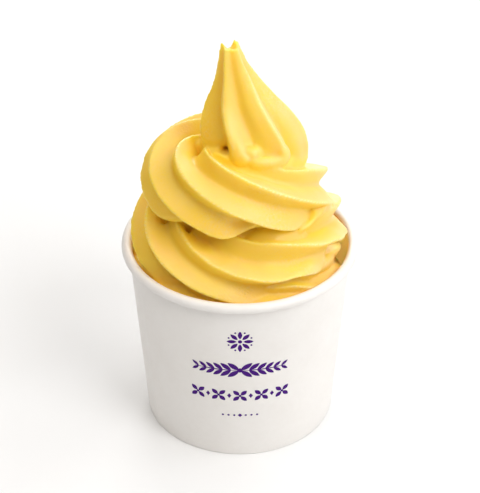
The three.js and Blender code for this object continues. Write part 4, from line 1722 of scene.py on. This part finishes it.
@dataclass
class Studio:
    """Floor, soft lights and camera. Its own sizes are in metres, and the camera's lens in millimetres."""

    aim: tuple[float, float, float] = (0.0, 0.0, 0.07655)
    distance: float = 0.763
    elevation_deg: float = 34.5
    lens: float = 138.6
    sensor: float = 36.0
    clip: tuple[float, float] = (0.01, 50.0)
    floor_radius: float = 6.0
    floor_sides: int = 96
    world_strength: float = 0.2
    world_colour: Colour = (1.0, 0.97, 0.93, 1.0)
    lights: tuple[SoftLight, ...] = (
        SoftLight("top", 0, 90, 2.0), SoftLight("key", 45, 43, 9.0), SoftLight("right", 90, 40, 3.8),
        SoftLight("back_right", 135, 40, 2.8), SoftLight("back", 180, 15, 10.0),
        SoftLight("back_left", 225, 40, 1.2), SoftLight("left", 315, 65, 5.2, colour=(1.0, 0.95, 0.89)))

    def aimed(self, name: str, data: Any, direction: Vector, distance: float) -> Object:
        """Places a camera or a light so that it faces the cup.

        Args:
            name: The new object's name.
            data: The camera or the light.
            direction: Where it stands, as seen from the cup.
            distance: How far away it stands.

        Returns:
            The object.
        """
        placed = bpy.data.objects.new(name, data)
        placed.location = Vector(self.aim) + direction * distance
        placed.rotation_euler = (-direction).to_track_quat("-Z", "Y").to_euler()
        bpy.context.scene.collection.objects.link(placed)
        return placed

    def build_camera(self) -> None:
        """Places the camera and makes it the scene's own."""
        data = bpy.data.cameras.new("camera")
        data.lens, data.sensor_width = self.lens, self.sensor
        data.clip_start, data.clip_end = self.clip
        up = math.radians(self.elevation_deg)
        front = Vector((0.0, -math.cos(up), math.sin(up)))
        bpy.context.scene.camera = self.aimed("camera", data, front, self.distance)

    def build_floor(self) -> None:
        """Lays the floor."""
        turns = np.arange(self.floor_sides) * 2 * math.pi / self.floor_sides
        points = np.stack([np.cos(turns), np.sin(turns), 0 * turns], 1) * self.floor_radius / MM
        floor = linked("floor", Skin(points, [list(range(self.floor_sides))], 0 * turns))
        floor.data.materials.append(FloorFinish().material())

    def build_lights(self) -> None:
        """Sets the faint light from all round and the soft lights."""
        world = bpy.data.worlds.new("studio")
        world.use_nodes = True
        NodeSheet(world.node_tree).feed(world.node_tree.nodes["Background"], {
            "Color": self.world_colour, "Strength": self.world_strength})
        bpy.context.scene.world = world
        for light in self.lights:
            data = bpy.data.lights.new(light.name, "AREA")
            data.shape, data.size, data.energy, data.color = "DISK", light.size, light.power, light.colour
            self.aimed(light.name, data, light.direction(), light.distance)

    def build(self) -> None:
        """Builds the whole studio."""
        self.build_camera()
        self.build_floor()
        self.build_lights()
        settings = bpy.context.scene.view_settings
        settings.view_transform, settings.look = "Standard", "None"


def main() -> None:
    """Builds every piece in order."""
    logging.basicConfig(level=logging.INFO, format="%(name)s: %(message)s")
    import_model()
    Studio().build()
    cup = PaperCup()
    cup.build_wall()
    cup.build_bottom()
    PrintedMotif().build()
    Yogurt().build()


if __name__ == "__main__":
    main()
